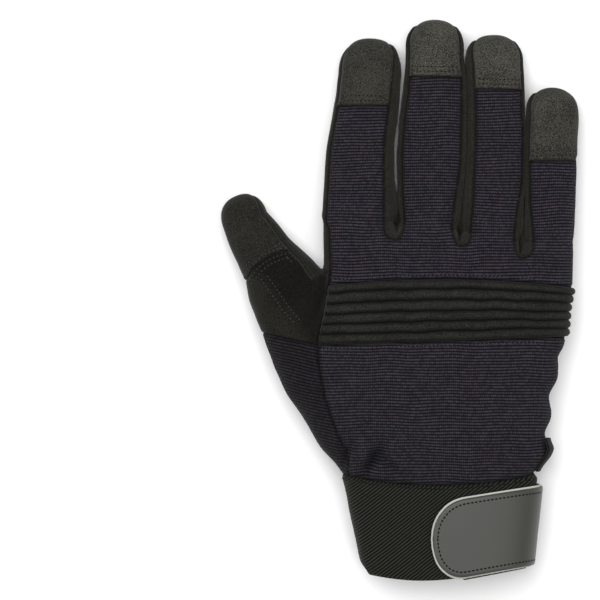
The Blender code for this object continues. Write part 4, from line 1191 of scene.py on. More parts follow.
def folds(point, outward):
    """How far the slack cloth stands out from the plain skin at a point."""
    free = ease((outward.z - PRESSED_LEVEL) / PRESSED_FADE)
    slack = SLACK_DEPTH * noise.noise(point / SLACK_SIZE)
    slack += FINE_SLACK_DEPTH * noise.noise(FINE_SLACK_START + point / FINE_SLACK_SIZE)
    if outward.z > 0:
        slack -= math.sqrt(outward.z) * sum(dent_depth(dent, point) for dent in DENTS)
    return free * (slack + edge_folds(point))


def keep_outward(skin):
    normals = skin.verts.layers.float_vector["outward"]
    skin.normal_update()
    for vert in skin.verts:
        vert[normals] = vert.normal


# Points of two strips closer than this are one, and shorter edges than this are removed
STRIP_MERGE = 0.02
TINY_EDGE = 0.001


def make_skin():
    """The glove's outer surface as one open mesh, with the outward normal kept per vertex."""
    skin = bmesh.new()
    skin.faces.layers.int.new("panel")
    skin.verts.layers.float.new("row")
    skin.verts.layers.float.new("edge")
    skin.loops.layers.uv.new("cloth")
    normals = skin.verts.layers.float_vector.new("outward")
    add_body(skin)
    add_hand(skin)
    for finger in range(len(FINGERS)):
        add_finger(skin, finger)
    add_thumb(skin)
    bmesh.ops.remove_doubles(skin, verts=skin.verts[:], dist=STRIP_MERGE)
    bmesh.ops.dissolve_degenerate(skin, edges=skin.edges[:], dist=TINY_EDGE)
    bmesh.ops.recalc_face_normals(skin, faces=skin.faces[:])
    top = max(skin.faces, key=lambda face: face.calc_center_median().z)
    if top.normal.z < 0:
        bmesh.ops.reverse_faces(skin, faces=skin.faces[:])
    keep_outward(skin)
    for vert in skin.verts:
        vert.co += vert[normals] * folds(vert.co, vert[normals])
    keep_outward(skin)
    return skin


def piece_of(skin, keep):
    """Copy of the skin with only the faces that keep(face, panel number) accepts."""
    piece = skin.copy()
    numbers = piece.faces.layers.int["panel"]
    drop = [face for face in piece.faces if not keep(face, face[numbers])]
    bmesh.ops.delete(piece, geom=drop, context="FACES")
    return piece


SHARP_CORNER = 0.4  # keeps the step at a very sharp corner short


def inward_step(vert, normal):
    """Direction from a border vertex into its piece, longer at a sharp corner."""
    ways = []
    for edge in vert.link_edges:
        if not edge.is_boundary:
            continue
        face = edge.link_faces[0]
        run = (edge.other_vert(vert).co - vert.co).normalized()
        way = normal.cross(run).normalized()
        middle = face.calc_center_median() - (edge.verts[0].co + edge.verts[1].co) / 2
        ways.append(way if way.dot(middle) > 0 else -way)
    if len(ways) != 2:
        return sum(ways, Vector()).normalized() if ways else Vector()
    total = ways[0] + ways[1]
    return total / max(SHARP_CORNER, 1 + ways[0].dot(ways[1]))


def draw_in(piece, distance):
    """Moves the piece's border in along its surface, so that it clears its neighbours."""
    normals = piece.verts.layers.float_vector["outward"]
    steps = {}
    for vert in piece.verts:
        if vert.is_boundary:
            steps[vert] = inward_step(vert, vert[normals]) * distance
    for vert, step in steps.items():
        vert.co += step


def measure_edge(piece):
    """Keeps each vertex's distance from the piece's border, in millimetres."""
    edges = piece.verts.layers.float["edge"]
    points = []
    for edge in piece.edges:
        if edge.is_boundary:
            first, second = edge.verts[0].co, edge.verts[1].co
            points += [first.copy(), (first + second) / 2]
    tree = KDTree(len(points))
    for number, point in enumerate(points):
        tree.insert(point, number)
    tree.balance()
    for vert in piece.verts:
        vert[edges] = tree.find(vert.co)[2]


def stand_out(piece, distance_of):
    normals = piece.verts.layers.float_vector["outward"]
    for vert in piece.verts:
        vert.co += vert[normals] * distance_of(vert)


def add_wall(piece, wall):
    """Turns the open surface into a closed wall that lies inside it."""
    normals = piece.verts.layers.float_vector["outward"]
    result = bmesh.ops.extrude_face_region(
        piece, geom=piece.faces[:], use_keep_orig=True
    )
    for vert in result["geom"]:
        if isinstance(vert, bmesh.types.BMVert):
            vert.co -= vert[normals] * wall
    bmesh.ops.recalc_face_normals(piece, faces=piece.faces[:])


def round_over(distance, depth, reach):
    """How far a puffed edge has sunk at a distance from the seam."""
    share = min(1.0, distance / reach)
    return -depth * (1 - math.sqrt(1 - (1 - share) ** 2))


# How each panel's edge turns down into its seam: depth and reach, and how much it bulges
Edge = namedtuple("Edge", "depth reach bulge")
EDGES = {
    "palm_panel": Edge(0.55, 1.8, 0.0),
    "back_panel_upper": Edge(0.55, 1.8, 0.0),
    "knuckle_band": Edge(0.30, 1.2, 0.0),
    "back_panel_lower": Edge(0.55, 2.0, 0.0),
    "thumb_gusset": Edge(0.55, 1.8, 0.0),
    "thumb_back": Edge(0.45, 1.6, 0.0),
    "thumb_tip_cap": Edge(0.35, 1.1, 0.1),
    "thumb_palm": Edge(0.50, 1.8, 0.0),
    "thumb_index_side_strip": Edge(0.55, 1.8, 0.3),
    "cuff_band": Edge(0.90, 2.2, 0.0),
}
LOOP_EDGE = Edge(0.60, 1.7, 0.5)
CAP_EDGE = Edge(0.40, 1.3, 0.1)
PANEL_INSET = 0.05


def edge_of(name):
    if name in FOURCHETTES:
        return LOOP_EDGE
    return EDGES.get(name, CAP_EDGE)


PLEAT_PITCH = 4.4
PLEAT_WOBBLE = 0.05
PLEAT_WOBBLE_SIZE = 9.0
PLEAT_FULLNESS = 0.45  # the lower, the fuller and the steeper beside its groove
PLEAT_EDGE = 0.3  # height left at the band's border

# The loops' edges are rolled over like piping
PIPING_WIDTH = 3.2
PIPING_RISE = 0.5


def pleat_rise(row, boundary):
    share = (row - BAND_ROW) / (BAND_END_ROW - BAND_ROW)
    wave = abs(math.sin(math.pi * PLEATS * share)) ** PLEAT_FULLNESS
    return PLEAT_HEIGHT * wave * (PLEAT_EDGE if boundary else 1.0)


def groove_shade_distance(row):
    """Distance from the nearest groove between two pleats, which sets the painted shade in the
    grooves.
    """
    place = PLEATS * (row - BAND_ROW) / (BAND_END_ROW - BAND_ROW)
    return PLEAT_PITCH * abs(place - round(place))


def crease_shade_distance(point, outward):
    """Small in a crease of the back, so that painted shade darkens it like a seam."""
    depth = sum(dent_depth(dent, point) for dent in DENTS) if outward.z > 0 else 0.0
    return CREASE_SHADE_OPEN * max(0.0, 1 - depth / CREASE_SHADE_DEPTH)


def shape_panel(skin, panel):
    """One panel's outer surface: cut, drawn in from its seams, puffed and raised."""
    number = PANEL_NUMBER[panel.name]
    piece = piece_of(skin, lambda face, panel_number: panel_number == number)
    edge = edge_of(panel.name)
    measure_edge(piece)
    draw_in(piece, PANEL_INSET)
    distances = piece.verts.layers.float["edge"]
    lines = piece.verts.layers.float["row"]
    normals = piece.verts.layers.float_vector["outward"]
    pleated = panel.name == "knuckle_band"

    def rise(vert):
        distance = vert[distances]
        out = panel.out + round_over(distance, edge.depth, edge.reach)
        out += edge.bulge * ease(distance / edge.reach)
        if panel.name in FOURCHETTES and distance < PIPING_WIDTH:
            out += PIPING_RISE * math.sin(math.pi * distance / PIPING_WIDTH)
        if pleated:
            row = vert[lines] + PLEAT_WOBBLE * noise.noise(vert.co / PLEAT_WOBBLE_SIZE)
            out += pleat_rise(row, vert.is_boundary)
            # the grooves between pleats take painted shade, as at a seam
            vert[distances] = min(distance, groove_shade_distance(row))
        else:
            # in a crease the distance is cut down, so that the crease takes painted shade
            vert[distances] = min(distance, crease_shade_distance(vert.co, vert[normals]))
        return out

    stand_out(piece, rise)
    return piece


def on_tab(centre):
    """Whether a face below the fingers lies on the patch, whose tabs leave a side bare."""
    if centre.y < WRIST_Y + TABS_FROM * PALM_LENGTH:
        return True
    for finger in range(LITTLE):
        section = finger_section(finger, along_at(finger, centre.y))
        if section.left < centre.x < section.right:
            return share_at(section, centre.x) < TABS_REACH
    return False


def raise_sheet(piece, out, depth, reach):
    """Lifts an open sheet over its ground and rounds its edges down."""
    distances = piece.verts.layers.float["edge"]
    stand_out(piece, lambda vert: out + round_over(vert[distances], depth, reach))


# The upper patch: its gap to the last crotch, the end of its tabs as a share of PALM_LENGTH,
# how flat the palm lies under it and how far its border stands back
UPPER_PATCH_GAP = 3.0
TABS_END = 1.60
PATCH_FLATNESS = 0.6
UPPER_PATCH_INSET = 0.6

# How a patch's edge is rounded, and the grid of the lower patch
PATCH_EDGE_DEPTH = 0.35
PATCH_EDGE_REACH = 1.0
PATCH_GRID = (72, 36)


def upper_patch_surface(skin):
    """Patch over the finger roots of the palm, with a tab up three of the fingers."""
    right = KNUCKLE_CENTRE + WEBS[-1].x * KNUCKLE_WIDTH - UPPER_PATCH_GAP
    top = WRIST_Y + TABS_END * PALM_LENGTH

    def keep(face, number):
        centre = face.calc_center_median()
        inside = hand_y(centre.x, 0.0, 1.0) < centre.y < top and centre.x < right
        palm = number == PANEL_NUMBER["palm_panel"]
        return palm and inside and face.normal.z < -PATCH_FLATNESS and on_tab(centre)

    piece = piece_of(skin, keep)
    measure_edge(piece)
    draw_in(piece, UPPER_PATCH_INSET)
    raise_sheet(piece, LIFT, PATCH_EDGE_DEPTH, PATCH_EDGE_REACH)
    return piece


# Steps of the search for a row, and for a point of the strap
HALVINGS = 9
SETTLE_STEPS = 3


def row_through(x, y, level):
    """Number of the row of the hand that passes through a point in plan."""
    low, high = 0.0, float(CROTCH_ROW)
    for _ in range(HALVINGS):
        middle = (low + high) / 2
        if row_y(body_row(middle), x, level) < y:
            low = middle
        else:
            high = middle
    start, end = (row_y(body_row(at), x, level) for at in (low, high))
    return mix(low, high, (y - start) / (end - start))


def palm_height(x, y):
    at = row_through(x, y, 1.0)
    row = body_row(at)
    return body_height(row, at, x, -1, hand_section(row))


def sheet(columns, rows, place):
    """Open grid bent by place(u, v), with its own outward normals kept."""
    piece = bmesh.new()
    piece.verts.layers.float.new("edge")
    weave = piece.loops.layers.uv.new("cloth")
    normals = piece.verts.layers.float_vector.new("outward")
    grid = bmesh.ops.create_grid(piece, x_segments=columns, y_segments=rows, size=0.5)
    for face in piece.faces:
        for loop in face.loops:
            loop[weave].uv = Vector((loop.vert.co.x + 0.5, loop.vert.co.y + 0.5))
    for vert in grid["verts"]:
        vert.co = place(vert.co.x + 0.5, vert.co.y + 0.5)
    piece.normal_update()
    return piece, normals


def keep_normals(piece, normals, facing):
    """Keeps each vertex's normal, turned to the side that facing(normal) accepts."""
    middle = sum((vert.normal for vert in piece.verts), Vector())
    if not facing(middle):
        bmesh.ops.reverse_faces(piece, faces=piece.faces[:])
        piece.normal_update()
    for vert in piece.verts:
        vert[normals] = vert.normal


# Lower edge of the palm's lower patch: x as a share of KNUCKLE_WIDTH, along of PALM_LENGTH.
LOWER_PATCH_EDGE = (
    (-0.50, 0.690),
    (-0.34, 0.535),
    (-0.15, 0.395),
    (-0.05, 0.353),
    (0.25, 0.343),
    (0.42, 0.360),
)

# Its sides, the right one at the lower and upper end, and its gap to the upper patch
LOWER_PATCH_LEFT = -0.44
LOWER_PATCH_RIGHT = (0.325, 0.40)
LOWER_PATCH_GAP = 1.5


def lower_patch_surface():
    left = KNUCKLE_CENTRE + LOWER_PATCH_LEFT * KNUCKLE_WIDTH
    row = BODY[CROTCH_ROW]

    def place(u, v):
        right = KNUCKLE_CENTRE + mix(*LOWER_PATCH_RIGHT, v) * KNUCKLE_WIDTH
        x = mix(left, right, u)
        low = between(LOWER_PATCH_EDGE, (x - KNUCKLE_CENTRE) / KNUCKLE_WIDTH)
        y = mix(WRIST_Y + low * PALM_LENGTH, row_y(row, x, 1.0) - LOWER_PATCH_GAP, v)
        return Vector((x, y, palm_height(x, y)))

    piece, normals = sheet(*PATCH_GRID, place)
    keep_normals(piece, normals, lambda way: way.z < 0)
    measure_edge(piece)
    raise_sheet(piece, LIFT, PATCH_EDGE_DEPTH, PATCH_EDGE_REACH)
    return piece


def strap_point(angle, y):
    """Point of the cuff's surface at an angle round its section and at y."""
    at = 1.0
    for _ in range(SETTLE_STEPS):
        section = wide_section(body_row(at))
        point = rim(section, 1, angle)
        at = row_through(point.x, y, 0.0)
    return Vector((point.x, y, point.y))


def angle_of_x(x, y):
    """Angle round the cuff's section at x, past a right angle left of its middle."""
    share = share_at(wide_section(body_row(row_through(x, y, 0.0))), x)
    return math.acos(signed_power(share, TOP_POWER / 2))


TAB_END_X = wide_section(body_row(1.0)).right - TAB_LENGTH
TAB_EDGE_Y = WRIST_Y - 0.477 * CUFF_LENGTH
TAB_SLOPE = 0.17
TAB_NOSE = 0.45 * TAB_WIDTH
TAB_WRAP = math.radians(-12.0)

# The loop patch under the tab: where it starts, how far it reaches round and down, its width
LOOP_START = 10.0
LOOP_WRAP = 0.35
LOOP_DROP = 3.4
LOOP_NOSE = 4.0
LOOP_WIDTH = 0.88 * TAB_WIDTH

# Each layer of the strap, from the cuff outwards. softness: how far its edge is rounded.
StrapLayer = namedtuple(
    "StrapLayer", "name nose_x wrap half_width offset_y nose wall softness material"
)
STRAP_LAYERS = (
    StrapLayer(
        "loop_patch", TAB_END_X + LOOP_START, LOOP_WRAP, LOOP_WIDTH / 2,
        -LOOP_DROP, LOOP_NOSE, BACKING_WALL, 0.2, "loop_fabric",
    ),
    StrapLayer(
        "tab_backing", TAB_END_X - BACKING_RIM, TAB_WRAP, TAB_WIDTH / 2 + BACKING_RIM,
        0.0, TAB_NOSE, BACKING_WALL, 0.1, "white_backing",
    ),
    StrapLayer(
        "strap_tab", TAB_END_X, TAB_WRAP, TAB_WIDTH / 2,
        0.0, TAB_NOSE, TAB_WALL, 0.25, "grey_rubber",
    ),
)
STRAP_GRID = (72, 30)
STRAP_EVENNESS = 0.3  # the columns lie closer at the nose, and even at 1
STRAP_EDGE_REACH = 0.8
NOSE_POWER = 2.2
NOSE_LEAST = 0.1  # half width at the very nose, as a share of the strap's


def strap_sheet(layer):
    """Open sheet over the cuff, from a round nose on the back to round the wrist's edge."""
    start = angle_of_x(layer.nose_x, TAB_EDGE_Y)
    edge = wide_section(body_row(1.0)).right

    def half_at(flat_x):
        share = min(1.0, max(0.0, (flat_x - layer.nose_x) / layer.nose))
        curve = (1 - (1 - share) ** NOSE_POWER) ** (1 / NOSE_POWER)
        return layer.half_width * max(NOSE_LEAST, curve)

    def place(u, v):
        angle = mix(start, layer.wrap, mix(u * u, u, STRAP_EVENNESS))
        flat_x = strap_point(angle, TAB_EDGE_Y).x
        x = flat_x if angle > 0 else 2 * edge - flat_x
        centre = TAB_EDGE_Y + layer.offset_y - TAB_SLOPE * (edge - x)
        half = half_at(flat_x) if angle > 0 else layer.half_width
        return strap_point(angle, centre + half * (2 * v - 1))

    piece, normals = sheet(*STRAP_GRID, place)
    keep_normals(piece, normals, lambda way: way.z > 0)
    return piece


def strap_surface(layer, level):
    """One layer of the strap, raised to its level over the cuff, with softened edges."""
    piece = strap_sheet(layer)
    measure_edge(piece)
    raise_sheet(piece, level + layer.wall, layer.softness, STRAP_EDGE_REACH)
    return piece


# The flap's rows, counted from the wrist, and how steeply its lower end rises
FLAP_START = 0.12
FLAP_END = 1.55
FLAP_RISE = 1.2
FLAP_GRID = (24, 24)


def flap_surface(columns=6, rows=6):
    """Small flap that stands out from the hand's edge above the cuff."""
    start, end = WRIST_ROW + FLAP_START, WRIST_ROW + FLAP_END

    def place(u, v):
        row = body_row(mix(start, end, v))
        point = rim(wide_section(row), 1, mix(FLAP_TOP, FLAP_LOW, u))
        return finish(point, row, 0.0)

    piece, normals = sheet(columns, rows, place)
    keep_normals(piece, normals, lambda way: way.x > 0)
    ends = [vert.co.y for vert in piece.verts]
    low, high = min(ends), max(ends)

    def rise(vert):
        share = (vert.co.y - low) / (high - low)
        free = ease(min(share * FLAP_RISE, (1 - share) / FLAP_TAPER))
        return LAYER_GAP + SUEDE_WALL + FLAP_BULGE * free

    stand_out(piece, rise)
    return piece


def centring():
    """How far the construction was moved to stand over its origin, read from one of its nodes."""
    flap = flap_surface()
    add_wall(flap, SUEDE_WALL)
    low = Vector(min(vert.co[i] for vert in flap.verts) for i in range(3))
    flap.free()
    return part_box("wrist_vent_flap")[0] - low * MM


SHIFT = centring()


def mesh_object(piece, name, material):
    for vert in piece.verts:
        vert.co = vert.co * MM + SHIFT
    for face in piece.faces:
        face.smooth = True
    mesh = bpy.data.meshes.new(name)
    piece.to_mesh(mesh)
    piece.free()
    mesh.materials.append(material)
    made = bpy.data.objects.new(name, mesh)
    bpy.context.scene.collection.objects.link(made)
    return made


# Shader nodes


def add_node(tree, kind, inputs=None, **settings):
    """Adds a node with its settings, its inputs by name or number as values or links."""
    made = tree.nodes.new(kind)
    for name, value in settings.items():
        setattr(made, name, value)
    for name, value in (inputs or {}).items():
        if isinstance(value, bpy.types.NodeSocket):
            tree.links.new(value, made.inputs[name])
        else:
            made.inputs[name].default_value = value
    return made


def maths(tree, operation, first, second=0.0, third=0.0):
    inputs = {0: first, 1: second, 2: third}
    return add_node(tree, "ShaderNodeMath", inputs, operation=operation).outputs[0]


def blend(tree, share, first, second, mode="MIX"):
    inputs = {0: share, 6: first, 7: second}
    made = add_node(tree, "ShaderNodeMix", inputs, data_type="RGBA", blend_type=mode)
    return made.outputs[2]


def grain(tree, vector, scale, detail=2.0):
    inputs = {"Vector": vector, "Scale": scale, "Detail": detail, "Roughness": 0.6}
    return add_node(tree, "ShaderNodeTexNoise", inputs).outputs[0]


def new_group(name, inputs, outputs):
    """Empty shader group. inputs: name to default value, a vector where it is None."""
    tree = bpy.data.node_groups.new(name, "ShaderNodeTree")
    for label, value in inputs.items():
        kind = "NodeSocketVector" if value is None else "NodeSocketFloat"
        socket = tree.interface.new_socket(label, in_out="INPUT", socket_type=kind)
        if value is not None:
            socket.default_value = value
    for label in outputs:
        tree.interface.new_socket(label, in_out="OUTPUT", socket_type="NodeSocketFloat")
    entry = tree.nodes.new("NodeGroupInput")
    leave = tree.nodes.new("NodeGroupOutput")
    return tree, entry.outputs, leave.inputs


def clamp(tree, value):
    return add_node(tree, "ShaderNodeClamp", {0: value}).outputs[0]


def stretch(tree, value, gain, offset):
    return maths(tree, "MULTIPLY_ADD", value, gain, offset)


def weigh(tree, first, second, share):
    """Sum of two values, the second one at a share and the first one at the rest."""
    rest = maths(tree, "MULTIPLY", first, 1 - share)
    return maths(tree, "ADD", rest, maths(tree, "MULTIPLY", second, share))


def ridge(tree, place, pitch, power):
    """Rounded ridges, 0 in the groove and 1 on top, one for each pitch along place."""
    turn = maths(tree, "MULTIPLY", maths(tree, "DIVIDE", place, pitch), math.pi)
    return maths(tree, "POWER", maths(tree, "ABSOLUTE", maths(tree, "SINE", turn)), power)


# Brushed suede: waves in each millimetre of its clouds, fibres, specks and light flecks, what
# the clouds and the flecks add to the shade, and the flecks' contrast: gain and offset
NAP_CLOUDS = 0.09
NAP_FIBRES = 2.0
NAP_SPECKS = 3.4
NAP_FLECKS = 1.9
NAP_CLOUD_SHARE = 0.12
NAP_FLECK_SHARE = 0.25
FLECK_CONTRAST = (9.0, -6.6)


def nap_group():
    """Brushed suede: fine uneven fibres with a few light flecks, and their height."""
    tree, given, result = new_group("suede_nap", {"Place": None, "Speck": 1.0}, ("Shade", "Height"))
    place = given["Place"]
    cloud = grain(tree, place, NAP_CLOUDS, detail=3.0)
    fibre = grain(tree, place, maths(tree, "DIVIDE", NAP_FIBRES, given["Speck"]), detail=3.0)
    speck = grain(tree, place, maths(tree, "DIVIDE", NAP_SPECKS, given["Speck"]), detail=1.0)
    fine = weigh(tree, fibre, speck, 0.5)
    fleck = grain(tree, place, NAP_FLECKS, detail=0.0)
    light = clamp(tree, stretch(tree, fleck, *FLECK_CONTRAST))
    shade = weigh(tree, fine, cloud, NAP_CLOUD_SHARE)
    shade = maths(tree, "ADD", shade, maths(tree, "MULTIPLY", light, NAP_FLECK_SHARE))
    tree.links.new(shade, result["Shade"])
    tree.links.new(fine, result["Height"])
    return tree


# Ribbed knit: how far its ribs and wales wander, in millimetres, with the waves in each
# millimetre of that; how sharp they are; and how far the shade varies: gain and offset
KNIT_WANDER = 2.4
KNIT_WANDER_WAVES = 0.04
KNIT_DRIFT = 1.1
KNIT_DRIFT_WAVES = 0.5
RIB_SHARPNESS = 1.9
WALE_SHARPNESS = 1.0
WALE_CONTRAST = (0.65, 0.35)
YARN_CONTRAST = (0.6, 0.6)
KNIT_CLOUDS = 0.16
KNIT_CLOUD_CONTRAST = (0.8, 0.6)
TINT_WAVES = 0.37
TINT_LEVEL = 0.6


def knit_group():
    """Ribbed knit: fine ridges across the hand, each a row of stitches of uneven shade."""
    inputs = {"Place": None, "Pitch": 1.31, "Wale": 0.87}
    tree, given, result = new_group("ribbed_knit", inputs, ("Shade", "Height", "Tint"))
    place = given["Place"]
    parts = add_node(tree, "ShaderNodeSeparateXYZ", {0: place}).outputs
    centred = maths(tree, "SUBTRACT", grain(tree, place, KNIT_WANDER_WAVES, detail=1.0), 0.5)
    rise = maths(tree, "ADD", parts[1], maths(tree, "MULTIPLY", centred, KNIT_WANDER))
    drift = maths(tree, "MULTIPLY", grain(tree, place, KNIT_DRIFT_WAVES, detail=1.0), KNIT_DRIFT)
    run = maths(tree, "ADD", parts[0], drift)
    ribs = ridge(tree, rise, given["Pitch"], RIB_SHARPNESS)
    wales = ridge(tree, run, given["Wale"], WALE_SHARPNESS)
    column = maths(tree, "FLOOR", maths(tree, "DIVIDE", run, given["Wale"]))
    line = maths(tree, "FLOOR", maths(tree, "DIVIDE", rise, given["Pitch"]))
    cell = add_node(tree, "ShaderNodeCombineXYZ", {0: column, 1: line}).outputs[0]
    single = add_node(tree, "ShaderNodeTexWhiteNoise", {"Vector": cell}).outputs
    body = maths(tree, "MULTIPLY", ribs, stretch(tree, wales, *WALE_CONTRAST))
    yarn = stretch(tree, single["Value"], *YARN_CONTRAST)
    cloud = stretch(tree, grain(tree, place, KNIT_CLOUDS), *KNIT_CLOUD_CONTRAST)
    shade = maths(tree, "MULTIPLY", maths(tree, "MULTIPLY", body, yarn), cloud)
    tint = maths(tree, "GREATER_THAN", grain(tree, cell, TINT_WAVES, detail=0.0), TINT_LEVEL)
    tree.links.new(shade, result["Shade"])
    tree.links.new(body, result["Height"])
    tree.links.new(tint, result["Tint"])
    return tree


# Elastic webbing: how far its cords wander, in millimetres, with the waves in each millimetre
# of that; how sharp the cords and cross threads are; and how far the shade varies
CORD_WANDER = 0.6
CORD_WANDER_WAVES = 0.25
CORD_SHARPNESS = 3.2
CROSS_PITCH = 0.75
CROSS_SHARPNESS = 0.7
CROSS_CONTRAST = (0.4, 0.6)
CORD_YARN_WAVES = 1.7
CORD_YARN_CONTRAST = (2.6, -0.35)


def twill_group():
    """Elastic webbing: slanting cords that rise to the right, broken by cross threads."""
    inputs = {"Place": None, "Pitch": 1.55, "Slope": 0.8}
    tree, given, result = new_group("elastic_twill", inputs, ("Shade", "Height"))
    place = given["Place"]
    parts = add_node(tree, "ShaderNodeSeparateXYZ", {0: place}).outputs
    lean = maths(tree, "SUBTRACT", parts[1], maths(tree, "MULTIPLY", parts[0], given["Slope"]))
    wander = maths(tree, "MULTIPLY", grain(tree, place, CORD_WANDER_WAVES, detail=1.0), CORD_WANDER)
    cords = ridge(tree, maths(tree, "ADD", lean, wander), given["Pitch"], CORD_SHARPNESS)
    cross = ridge(tree, parts[0], CROSS_PITCH, CROSS_SHARPNESS)
    body = maths(tree, "MULTIPLY", cords, stretch(tree, cross, *CROSS_CONTRAST))
    yarn = stretch(tree, grain(tree, place, CORD_YARN_WAVES), *CORD_YARN_CONTRAST)
    shade = maths(tree, "MULTIPLY", body, yarn)
    tree.links.new(shade, result["Shade"])
    tree.links.new(body, result["Height"])
    return tree


def seam_group():
    """Shade of a seam: 0 at the piece's border and 1 away from it."""
    inputs = {"Distance": 5.0, "Reach": 1.2}
    tree, given, result = new_group("seam_shade", inputs, ("Open",))
    share = maths(tree, "DIVIDE", given["Distance"], given["Reach"])
    tree.links.new(clamp(tree, share), result["Open"])
    return tree


# How much brighter the lit cloth comes out than its own colour
LIGHT_LEVEL = 1.95
SHEEN_ROUGHNESS = 0.5
MILLIMETRES = (1000.0, 1000.0, 1000.0)


def screen(colour):
    """A material's own colour, from the 0 to 255 values that it shows when it is lit."""
    linear = (((value / 255 + 0.055) / 1.055) ** 2.4 for value in colour)
    return (*(value / LIGHT_LEVEL for value in linear), 1.0)


def start_material(name, roughness, sheen, specular=0.08):
    material = bpy.data.materials.new(name)
    material.use_nodes = True
    shader = material.node_tree.nodes["Principled BSDF"]
    shader.inputs["Roughness"].default_value = roughness
    shader.inputs["Sheen Weight"].default_value = sheen
    shader.inputs["Sheen Roughness"].default_value = SHEEN_ROUGHNESS
    shader.inputs["Specular IOR Level"].default_value = specular
    return material, material.node_tree, shader


def cloth_place(tree, turn=0.0):
    """The piece's own cloth map, in millimetres, turned by an angle in degrees."""
    source = add_node(tree, "ShaderNodeUVMap", uv_map="cloth").outputs[0]
    inputs = {"Vector": source, "Rotation": (0.0, 0.0, math.radians(turn)), "Scale": MILLIMETRES}
    return add_node(tree, "ShaderNodeMapping", inputs).outputs[0]


def solid_place(tree):
    """Object coordinates in millimetres."""
    source = add_node(tree, "ShaderNodeTexCoord").outputs["Object"]
    return add_node(tree, "ShaderNodeMapping", {"Vector": source, "Scale": MILLIMETRES}).outputs[0]


def use_group(tree, group, inputs):
    return add_node(tree, "ShaderNodeGroup", inputs, node_tree=group).outputs


def seam_open(tree, reach):
    distance = add_node(tree, "ShaderNodeAttribute", attribute_name="edge").outputs["Fac"]
    return use_group(tree, GROUPS["seam"], {"Distance": distance, "Reach": reach})["Open"]


def add_bump(tree, shader, height, depth, strength):
    inputs = {"Height": height, "Distance": depth * MM, "Strength": strength}
    bump = add_node(tree, "ShaderNodeBump", inputs)
    tree.links.new(bump.outputs[0], shader.inputs["Normal"])


def dress(tree, shader, shade, height, low, high, depth, strength, seam=0.9, seam_dark=0.3):
    """Colours a shader between two colours by shade, with painted shade near the seams, pleat
    grooves and creases, and with a bump.
    """
    tone = blend(tree, shade, low, high)
    # painted shade: the colour is darkened near each border, groove or crease, by the distance kept
    # in the edge layer
    dark = blend(tree, 1.0, tone, (seam_dark, seam_dark, seam_dark, 1.0), "MULTIPLY")
    finished = blend(tree, seam_open(tree, seam), dark, tone)
    tree.links.new(finished, shader.inputs["Base Color"])
    add_bump(tree, shader, height, depth, strength)


GROUPS = {
    "nap": nap_group(),
    "knit": knit_group(),
    "twill": twill_group(),
    "seam": seam_group(),
}


# The thumb's back takes painted shade between the hand and a slanting line, for the hollow by the
# crotch: the line's normal in plan, its distance along that normal and the width over which the
# painted shade changes, in millimetres
THUMB_LINE_WAY = Vector((0.79, 0.61, 0.0))
THUMB_LINE_AT = -42.4
THUMB_LINE_WIDTH = 7.0

# How strongly the shade of the nap and of the cords is spread out: gain and offset
NAP_CONTRAST = (16.0, -7.6)
CORD_CONTRAST = (1.6, -0.13)
RUBBER_SPECK = 0.6


def beside_thumb_line(tree):
    """1 on the thumb's outer side, 0 on the side of the hand, where the suede takes painted shade.
    """
    inputs = {0: solid_place(tree), 1: THUMB_LINE_WAY}
    reach = add_node(tree, "ShaderNodeVectorMath", inputs, operation="DOT_PRODUCT").outputs["Value"]
    line = THUMB_LINE_AT + THUMB_LINE_WAY.dot(SHIFT) / MM
    share = maths(tree, "DIVIDE", maths(tree, "SUBTRACT", line, reach), THUMB_LINE_WIDTH)
    centred = maths(tree, "ADD", share, 0.5)
    return clamp(tree, centred)


def suede(name, low, high, seam=0.9, seam_dark=0.3, lighter=None):
    """Brushed suede; lighter gives the two shades that the thumb's outer side takes instead of the
    painted shade by the hand.
    """
    material, tree, shader = start_material(name, roughness=0.9, sheen=0.06)
    if lighter:
        outer = beside_thumb_line(tree)
        low = blend(tree, outer, low, lighter.low)
        high = blend(tree, outer, high, lighter.high)
    nap = use_group(tree, GROUPS["nap"], {"Place": solid_place(tree)})
    share = clamp(tree, stretch(tree, nap["Shade"], *NAP_CONTRAST))
    edge = {"seam": seam, "seam_dark": seam_dark}
    # painted shade near the borders and in the creases
    dress(tree, shader, share, nap["Height"], low, high, depth=0.35, strength=0.55, **edge)
    return material


def knit(name, low, high, turn=0.0):
    material, tree, shader = start_material(name, roughness=0.85, sheen=0.03)
    ribs = use_group(tree, GROUPS["knit"], {"Place": cloth_place(tree, turn)})
    share = clamp(tree, ribs["Shade"])
    warm = blend(tree, 1.0, high, KNIT_WARMTH, "MULTIPLY")
    tone = blend(tree, ribs["Tint"], high, warm)
    # seam=1.5 spreads the painted shade wider along the borders, darkening the sides of the fingers
    # where the light falls off
    dress(tree, shader, share, ribs["Height"], low, tone, depth=0.5, strength=0.9, seam=1.5)
    return material


def elastic(name, low, high):
    material, tree, shader = start_material(name, roughness=0.7, sheen=0.03)
    cords = use_group(tree, GROUPS["twill"], {"Place": cloth_place(tree)})
    share = clamp(tree, stretch(tree, cords["Shade"], *CORD_CONTRAST))
    # painted shade along the cuff's borders
    dress(tree, shader, share, cords["Height"], low, high, depth=0.5, strength=0.8)
    return material


def rubber(name, low, high):
    material, tree, shader = start_material(name, roughness=0.42, sheen=0.0, specular=0.35)
    nap = use_group(tree, GROUPS["nap"], {"Place": solid_place(tree), "Speck": RUBBER_SPECK})
    # a faint painted shade along the tab's border
    relief = {"depth": 0.08, "strength": 0.3, "seam": 0.4, "seam_dark": 0.8}
    dress(tree, shader, nap["Shade"], nap["Height"], low, high, **relief)
    return material


